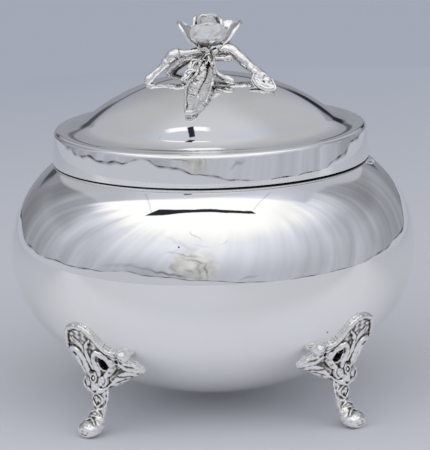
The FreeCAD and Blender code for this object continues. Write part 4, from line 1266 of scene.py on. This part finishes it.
# finial, in millimetres in the part's own frame

TWIG_REACH = 20.6
TWIG_RISE = 8.4
TWIG_THICKNESS = 4.1
# how deep the castings may dip into the crown
CROWN_DIP = 0.05
BRANCH_VOXEL = 0.17

# x, y, rise over the crown and thickness along each limb, as shares of the twig's reach,
# rise and thickness
LEFT_ARM = (
    (0.14, 0, 0.97, 1.25), (-0.04, 0, 0.95, 0.98), (-0.2, 0, 0.88, 0.68), (-0.38, 0.01, 0.87, 0.66),
    (-0.5, 0.01, 0.9, 0.92), (-0.57, 0, 0.86, 0.98), (-0.645, 0, 0.72, 0.8), (-0.69, 0, 0.62, 0.84),
    (-0.74, 0, 0.52, 0.64), (-0.86, 0, 0.34, 0.6), (-0.95, 0, 0.2, 0.72), (-0.985, 0, 0.1, 0.66),
)
RIGHT_ARM = (
    (0.06, 0, 0.96, 1.25), (0.24, -0.02, 1, 1.12), (0.38, -0.05, 0.95, 1.06), (0.48, -0.09, 0.78, 0.94),
    (0.57, -0.13, 0.63, 0.98), (0.66, -0.18, 0.47, 0.82), (0.74, -0.25, 0.36, 0.9),
    (0.84, -0.38, 0.24, 1), (0.9, -0.48, 0.18, 1.15),
)
BACK_ARM = (
    (0.05, 0.03, 0.92, 1.05), (-0.12, 0.08, 0.84, 0.9), (-0.28, 0.18, 0.66, 0.86),
    (-0.43, 0.29, 0.47, 0.92), (-0.52, 0.4, 0.3, 0.78), (-0.58, 0.5, 0.14, 0.88),
    (-0.61, 0.56, 0.04, 0.92),
)
STUB = (
    (0.06, -0.14, 0.68, 0.62), (0.15, -0.2, 0.67, 0.46), (0.25, -0.235, 0.69, 0.42),
    (0.34, -0.25, 0.73, 0.56),
)
BUD = (
    (0.03, -0.22, 0.68, 0.7), (0.06, -0.34, 0.56, 0.5), (0.08, -0.46, 0.43, 0.5),
    (0.13, -0.58, 0.31, 0.48), (0.2, -0.66, 0.27, 0.5), (0.28, -0.71, 0.25, 0.7),
    (0.345, -0.74, 0.21, 0.56),
)
# lumps where the limbs meet: place from the fork, and radius
FORK_LUMPS = ((-1.6, -2.2, -0.6, 1.1), (0.6, -2.9, -0.7, 1.25), (2.8, -2, -0.3, 1), (-3, -0.9, 0.1, 1.1))
# knots on the limbs: limb, place along it, size as a share of the limb's thickness there
KNOTS = (
    ("left", 0.36, 1.1), ("left", 0.6, 1.08), ("left", 0.93, 1.06), ("right", 0.76, 1.06),
    ("back", 0.88, 1.1),
)


def crown_height(x, y):
    """Height of the lid's crown over a place, in millimetres."""
    drop = (DOME_CROWN_RADIUS / MM) ** 2 - x * x - y * y
    return CROWN_CENTRE_Z / MM + np.sqrt(np.clip(drop, 0, None))


def over_crown(x_share, y_share, rise_share):
    """A place of the finial."""
    x, y = x_share * TWIG_REACH, y_share * TWIG_REACH
    return np.array((x, y, crown_height(x, y) + rise_share * TWIG_RISE))


def limb(shares):
    """Rows of x, y, z and radius of a limb."""
    return np.array([(*over_crown(x, y, rise), thick * TWIG_THICKNESS / 2) for x, y, rise, thick in shares])


# the sawn end: its middle, its long half axis, its facing and its short half axis
SAWN_CENTRE = (0.868, -0.60, 0.29)
SAWN_LONG = unit((0.78, -0.22, -0.58)) * 4.7
SAWN_FACE = unit((0.26, -0.66, 0.70))
SAWN_SHORT = np.cross(SAWN_FACE, unit(SAWN_LONG)) * 3.2
# the sawn end's rings from its root to the hole of its pith: how far out and how wide
SAWN_RINGS = (
    (-3.2, 0.5), (-2.56, 0.78), (-1.76, 0.94), (-1.45, 1.02), (-1.15, 0.9), (-0.85, 0.9), (-0.5, 1.03),
    (-0.05, 0.98), (0.05, 0.93), (0.02, 0.88), (-0.13, 0.83), (-0.1, 0.62), (-0.06, 0.58), (-0.1, 0.54),
    (-0.06, 0.16), (-0.2, 0.11), (-0.9, 0.08),
)


def sawn_end(clay):
    """The oval sawn end: a rolled bark edge, growth rings and the hole of the pith."""
    centre = over_crown(*SAWN_CENTRE)
    turn = np.arange(40) * 2 * math.pi / 40
    wobble = 1 + 0.03 * np.sin(3 * turn + 1) + 0.02 * np.sin(7 * turn)
    oval = circle((0, 0, 0), SAWN_LONG, SAWN_SHORT, 40) * wobble[:, None]
    clay.rings([centre + oval * size + SAWN_FACE * out for out, size in SAWN_RINGS])


def make_branch(material):
    """The knotty branch with its stub and bud, one casting."""
    clay = Clay()
    limbs = {"left": limb(LEFT_ARM), "right": limb(RIGHT_ARM), "back": limb(BACK_ARM),
             "stub": limb(STUB), "bud": limb(BUD)}
    for rows in limbs.values():
        clay.tube(rows, steps=4, sides=16)
    for name, share, swell in KNOTS:
        rows = spline(limbs[name], 10)
        at = int(share * (len(rows) - 1))
        along = unit(rows[min(at + 1, len(rows) - 1), :3] - rows[at - 1, :3])
        side = unit(np.cross(along, (0.2, 0.4, 0.9)))
        radius = rows[at, 3] * swell
        clay.blob(rows[at, :3], (side * radius, np.cross(along, side) * radius, along * radius * 0.55))
    sawn_end(clay)
    foot = over_crown(0.08, 0.0, 1.0)
    clay.blob(foot + (-0.6, 0, 0.4), (4.9, 3.4, 2.3))
    for x, y, z, r in FORK_LUMPS:
        clay.ball(foot + (x, y, z), r)
    skin = skinned(clay, BRANCH_VOXEL, 1)
    skin.push(ripple(skin.points, 3.4, 21) * 0.09 + ripple(skin.points, 1.0, 22) * 0.025)
    keep_over_crown(skin)
    # painted shade on the back of the branch
    behind = np.clip((skin.points[:, 1] - 0.6) / 2.5, 0, 1) * 0.42
    shade_and_tarnish = skin.shade_and_tarnish(12, 4.2, 0.85) + behind
    cast_piece("casting_branch", skin, shade_and_tarnish, material, "lid",
               "finial_branch", "finial_twig_stub", "finial_bud")


def keep_over_crown(skin):
    """Lifts whatever dips into the lid's crown back onto it."""
    x, y, z = skin.points.T
    skin.points[:, 2] = np.maximum(z, crown_height(x, y) - CROWN_DIP)


def leaf_slab(clay, start, tip, half_widths, bow, teeth, veins, lift, skew=0.0):
    """A veined, toothed leaf between two points; half widths run from stalk to tip."""
    start, tip = np.asarray(start, float), np.asarray(tip, float)
    length = np.linalg.norm(tip - start)
    along = (tip - start) / length
    side = unit(np.cross(along, (0, 0, 1)))
    up = np.cross(side, along)
    rows, columns = int(length / 0.22), 49
    top = np.zeros((rows, columns, 3))
    bottom = np.zeros((rows, columns, 3))
    for row in range(rows):
        t = row / (rows - 1)
        half = np.interp(t, np.linspace(0, 1, len(half_widths)), half_widths)
        saw = (t * teeth) % 1.0
        for column in range(columns):
            w = column / (columns - 1) * 2 - 1
            notch = 0.50 * saw * abs(w) ** 6 * min(1.0, 4 * t * (1 - t) * 2)
            reach = w * (half + notch)
            vein = (t * veins - abs(w) * 1.15 + (0.5 if w < 0 else 0)) % 1.0
            ribs = 0.15 * math.exp(-((vein - 0.5) / 0.2) ** 2) * min(1, abs(w) * 3) * (1 - abs(w) ** 4)
            middle = 0.18 - 0.62 * math.exp(-((w * half + 0.2 * math.sin(t * 9)) / 0.42) ** 2)
            curl = 1.0 * abs(w) ** 3.5 * lift - 0.55 * (1 - w * w)
            wave = (0.55 * math.sin(t * 9 + w * 2.6) + 0.22 * math.sin(t * 23 - w * 4)) * abs(w)
            height = bow * 4 * t * (1 - t) + curl + ribs + middle * (1 - t) ** 0.3 + wave
            bend = skew * math.sin(math.pi * t) + 0.35 * math.sin(t * 12 + 1.0) * math.sin(math.pi * t)
            base = start + along * (t * length) + side * (reach + bend)
            top[row, column] = base + up * height
            bottom[row, column] = base + up * (height - 0.95 + 0.35 * abs(w) ** 2)
    clay.sheet(top, bottom)
    for column in (2, columns - 3):
        edge = enumerate(top[3:-2:8, column])
        clay.tube([(*point, 0.42 + 0.14 * math.sin(step * 1.7)) for step, point in edge], steps=4)


# the leaf's ends, as places of the finial, and its half widths from stalk to tip
LEAF_START = (0.01, -0.15, 0.78)
LEAF_TIP = (-0.365, -1.575, 0.15)
LEAF_HALF_WIDTHS = (0.9, 1.6, 2.3, 2.9, 3.4, 3.8, 4.1, 4.2, 4.1, 3.7, 3.1, 2.3, 1.3)
# the leaflets: start, tip and half widths
LEAFLETS = (
    ((-0.02, -0.19, 0.72), (-0.36, -0.27, 0.5), (0.6, 1, 1.3, 1.4, 1.2, 0.7)),
    ((-0.1, -0.34, 0.46), (-0.47, -0.5, 0.18), (0.6, 1.1, 1.6, 1.7, 1.4, 0.8)),
)
# folds beside the leaf's root, its stalk and the leaflets' stalks: distances along, aside and
# up, and radius
LEAF_ARCH = (
    (5.5, -1.9, 0.5, 0.62), (2.5, -1.7, 0.5, 0.62), (0.4, -0.6, 0.5, 0.62), (0.3, 0.7, 0.5, 0.62),
    (2.4, 1.8, 0.5, 0.62), (5.8, 2.2, 0.5, 0.62),
)
LEAF_STALK = ((1.5, 0, 0.2, 0.6), (5, 0, 0.1, 0.5))
LEAFLET_STALK = ((-0.8, 0, 0, 0.7), (2, 0, 0, 0.5), (5, 0, 0, 0.35))
LEAF_VOXEL = 0.16


def make_leaves(material):
    """The large leaf lying down the front of the dome, and the two leaflets beside it."""
    clay = Clay()
    start, tip = over_crown(*LEAF_START), over_crown(*LEAF_TIP)
    leaf_slab(clay, start, tip, LEAF_HALF_WIDTHS, -0.55, 7.5, 7.0, 0.9, skew=-0.7)
    along = unit(tip - start)
    up = unit(np.cross(np.cross(along, (0, 0, 1)), along))
    axes = (along, (1, 0, 0), up)
    # the curled knob at the leaf's tip
    clay.blob(tip - along * 0.6 + up * 0.25, (1.9, 1.5, 1.05))
    clay.ring(tip - along * 0.7 + up * 0.75, (0.9, 0, 0), (0, 0.9, 0), 0.36)
    clay.strand(start, axes, LEAF_ARCH, steps=4)
    clay.strand(start, axes, LEAF_STALK)
    for near, far, widths in LEAFLETS:
        near, far = over_crown(*near), over_crown(*far)
        leaf_slab(clay, near, far, widths, 0.5, 2.0, 2.0, -0.5)
        clay.strand(near, (unit(far - near), (1, 0, 0), up), LEAFLET_STALK)
    skin = skinned(clay, LEAF_VOXEL, 3)
    skin.push(ripple(skin.points, 2.2, 31) * 0.06)
    keep_over_crown(skin)
    shade_and_tarnish = skin.shade_and_tarnish(15, 4.2, 0.6) - 0.10
    cast_piece("casting_leaves", skin, shade_and_tarnish, material, "lid",
               "finial_leaf", "finial_leaflet_upper", "finial_leaflet_lower")


ROSE_FOOT = (0.1, 0.0, 121.6)
# facing in degrees from the front, lean, half spread, cup radius, height, lip, twist
PETALS = (
    (0, 6, 70, 5.9, 9.2, 0.1, 1), (-112, 30, 42, 5.2, 12.4, 0.16, 2), (120, 37, 60, 5.8, 13.6, 0.16, 3),
    (176, 4, 66, 5.5, 10.1, 0.1, 4), (-140, 0, 48, 4.6, 9.8, 0.08, 5), (136, 1, 48, 4.5, 9.5, 0.08, 6),
    (14, -4, 66, 3.2, 9.3, 0.02, 7),
)
# the curled edge of the rose's heart: distances aside and up from the rose's foot
ROSE_CURL = ((-2.9, 7), (-2.8, 8.6), (-1.9, 9.7), (-0.7, 9.75), (0.4, 8.9), (0.7, 7.2))
# a sepal of the calyx: distances outwards, aside and up from the rose's foot, and radius
SEPAL = ((1.2, 0, -1, 1), (3, 0, -0.3, 0.9), (4.2, 0, 0.9, 0.55), (4.9, 0, 2.2, 0.25))
PETAL_THICKNESS = 0.68
ROSE_VOXEL = 0.15


def petal_slab(clay, facing, lean, spread, radius, tall, lip, twist):
    """One cupped petal with a rounded, turned lip and a faint swell of its own."""
    rows, columns = 34, 37
    grid = np.zeros((rows, columns, 3))
    for row in range(rows):
        s = row / (rows - 1)
        for column in range(columns):
            t = column / (columns - 1) * 2 - 1
            crest = 1 - 0.26 * abs(t) ** 2.2 - 0.10 * t**6 + 0.025 * math.sin(5 * t + twist)
            h = s * crest
            bend = min(h / 0.5, 1.0) * math.pi / 2
            rest = max(h - 0.5, 0) / 0.5
            reach = radius * math.sin(0.12 + bend * 0.924) * (1 - 0.07 * rest)
            flare = lip * rest**3 + 0.05 * abs(t) ** 4 * s + 0.03 * s * math.sin(4 * t + twist * 1.7)
            reach += radius * flare
            rise = tall * (0.42 * (1 - math.cos(bend)) + 0.58 * rest - lip * 0.45 * rest**5)
            turn = math.radians(spread) * t
            grid[row, column] = (reach * math.cos(turn), reach * math.sin(turn), rise)
    down = np.gradient(grid, axis=0)
    over = np.gradient(grid, axis=1)
    normal = np.cross(over, down)
    normal /= np.maximum(np.linalg.norm(normal, axis=2), 1e-9)[..., None]
    t = np.linspace(-1, 1, columns)[None, :, None]
    s = np.linspace(0, 1, rows)[:, None, None]
    thick = PETAL_THICKNESS * (1 + 0.35 * (s**10 + t**10))
    shapes = []
    c, k = math.cos(math.radians(lean)), math.sin(math.radians(lean))
    for sign in (0.5, -0.5):
        points = (grid + normal * thick * sign).reshape(-1, 3)
        points = points @ np.array(((c, 0, -k), (0, 1, 0), (k, 0, c)))
        points = turned_about(points, facing - 90) + np.array(ROSE_FOOT)
        shapes.append(points.reshape(rows, columns, 3))
    clay.sheet(*shapes)


def make_rose(material):
    """The half-open rose: petals about a rolled heart, over a calyx of small sepals."""
    clay = Clay()
    foot = np.array(ROSE_FOOT)
    for petal in PETALS:
        petal_slab(clay, *petal)
    axes = np.eye(3)
    roll = []
    for step in range(15):
        turn = step * math.radians(34) + 2.2
        radius = 1.9 - 0.10 * step
        roll.append((radius * math.cos(turn), radius * math.sin(turn), 7.0 + 0.06 * step, 0.34))
    clay.strand(foot, axes, roll, steps=3, sides=10)
    clay.strand(foot, axes, [(x, -1.2, z, 0.5) for x, z in ROSE_CURL])
    clay.blob(foot + (0, 0, 5.0), (2.5, 2.5, 3.0))
    clay.blob(foot + (0, 0, 0.3), (3.6, 3.4, 2.3))
    for index in range(7):
        turn = 2 * math.pi * index / 7 + 0.3
        clay.strand(foot, ((math.cos(turn), math.sin(turn), 0), (0, 0, 0), (0, 0, 1)), SEPAL)
    skin = skinned(clay, ROSE_VOXEL, 1)
    skin.push(ripple(skin.points, 2.2, 41) * 0.05)
    x, y, z = (skin.points - foot).T
    # painted shade on the neck under the cup and deep in the heart
    neck_shade = np.clip((2.6 - z) / 2.5, 0, 1) * 0.42
    heart = np.clip((4.4 - np.hypot(x, y)) / 1.2, 0, 1) * np.clip((8.0 - z) / 1.5, 0, 1) * 0.8
    shade_and_tarnish = skin.shade_and_tarnish(12, 3.6, 0.45) + neck_shade + heart
    cast_piece("casting_rose", skin, shade_and_tarnish, material, "lid",
               "rose_calyx", "rose_heart", "rose_petal_front", "rose_petal_left", "rose_petal_right",
               "rose_petal_back", "rose_inner_petal_left", "rose_inner_petal_right")


def keep_node(name, material):
    """A solid that stays as it is, in a better material."""
    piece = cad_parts[name]
    piece.data.materials.clear()
    piece.data.materials.append(material)


def main():
    scene = bpy.context.scene
    scene.view_settings.view_transform = "Standard"
    make_camera()
    make_world()
    make_floor()
    make_sweep()
    mirror = polished_silver()
    cast = cast_silver()
    make_shell("bowl_sheet", bowl_profile, BOWL_WALL, 0.012, mirror, "bowl", "bowl_shell")
    make_rim_wire(mirror)
    make_shell("lid_dome_sheet", dome_profile, DOME_WALL, 0.006, mirror, "lid", "lid_dome")
    make_band(mirror)
    keep_node("lid_bezel", mirror)
    make_feet(cast)
    make_branch(cast)
    make_leaves(cast)
    make_rose(cast)


main()
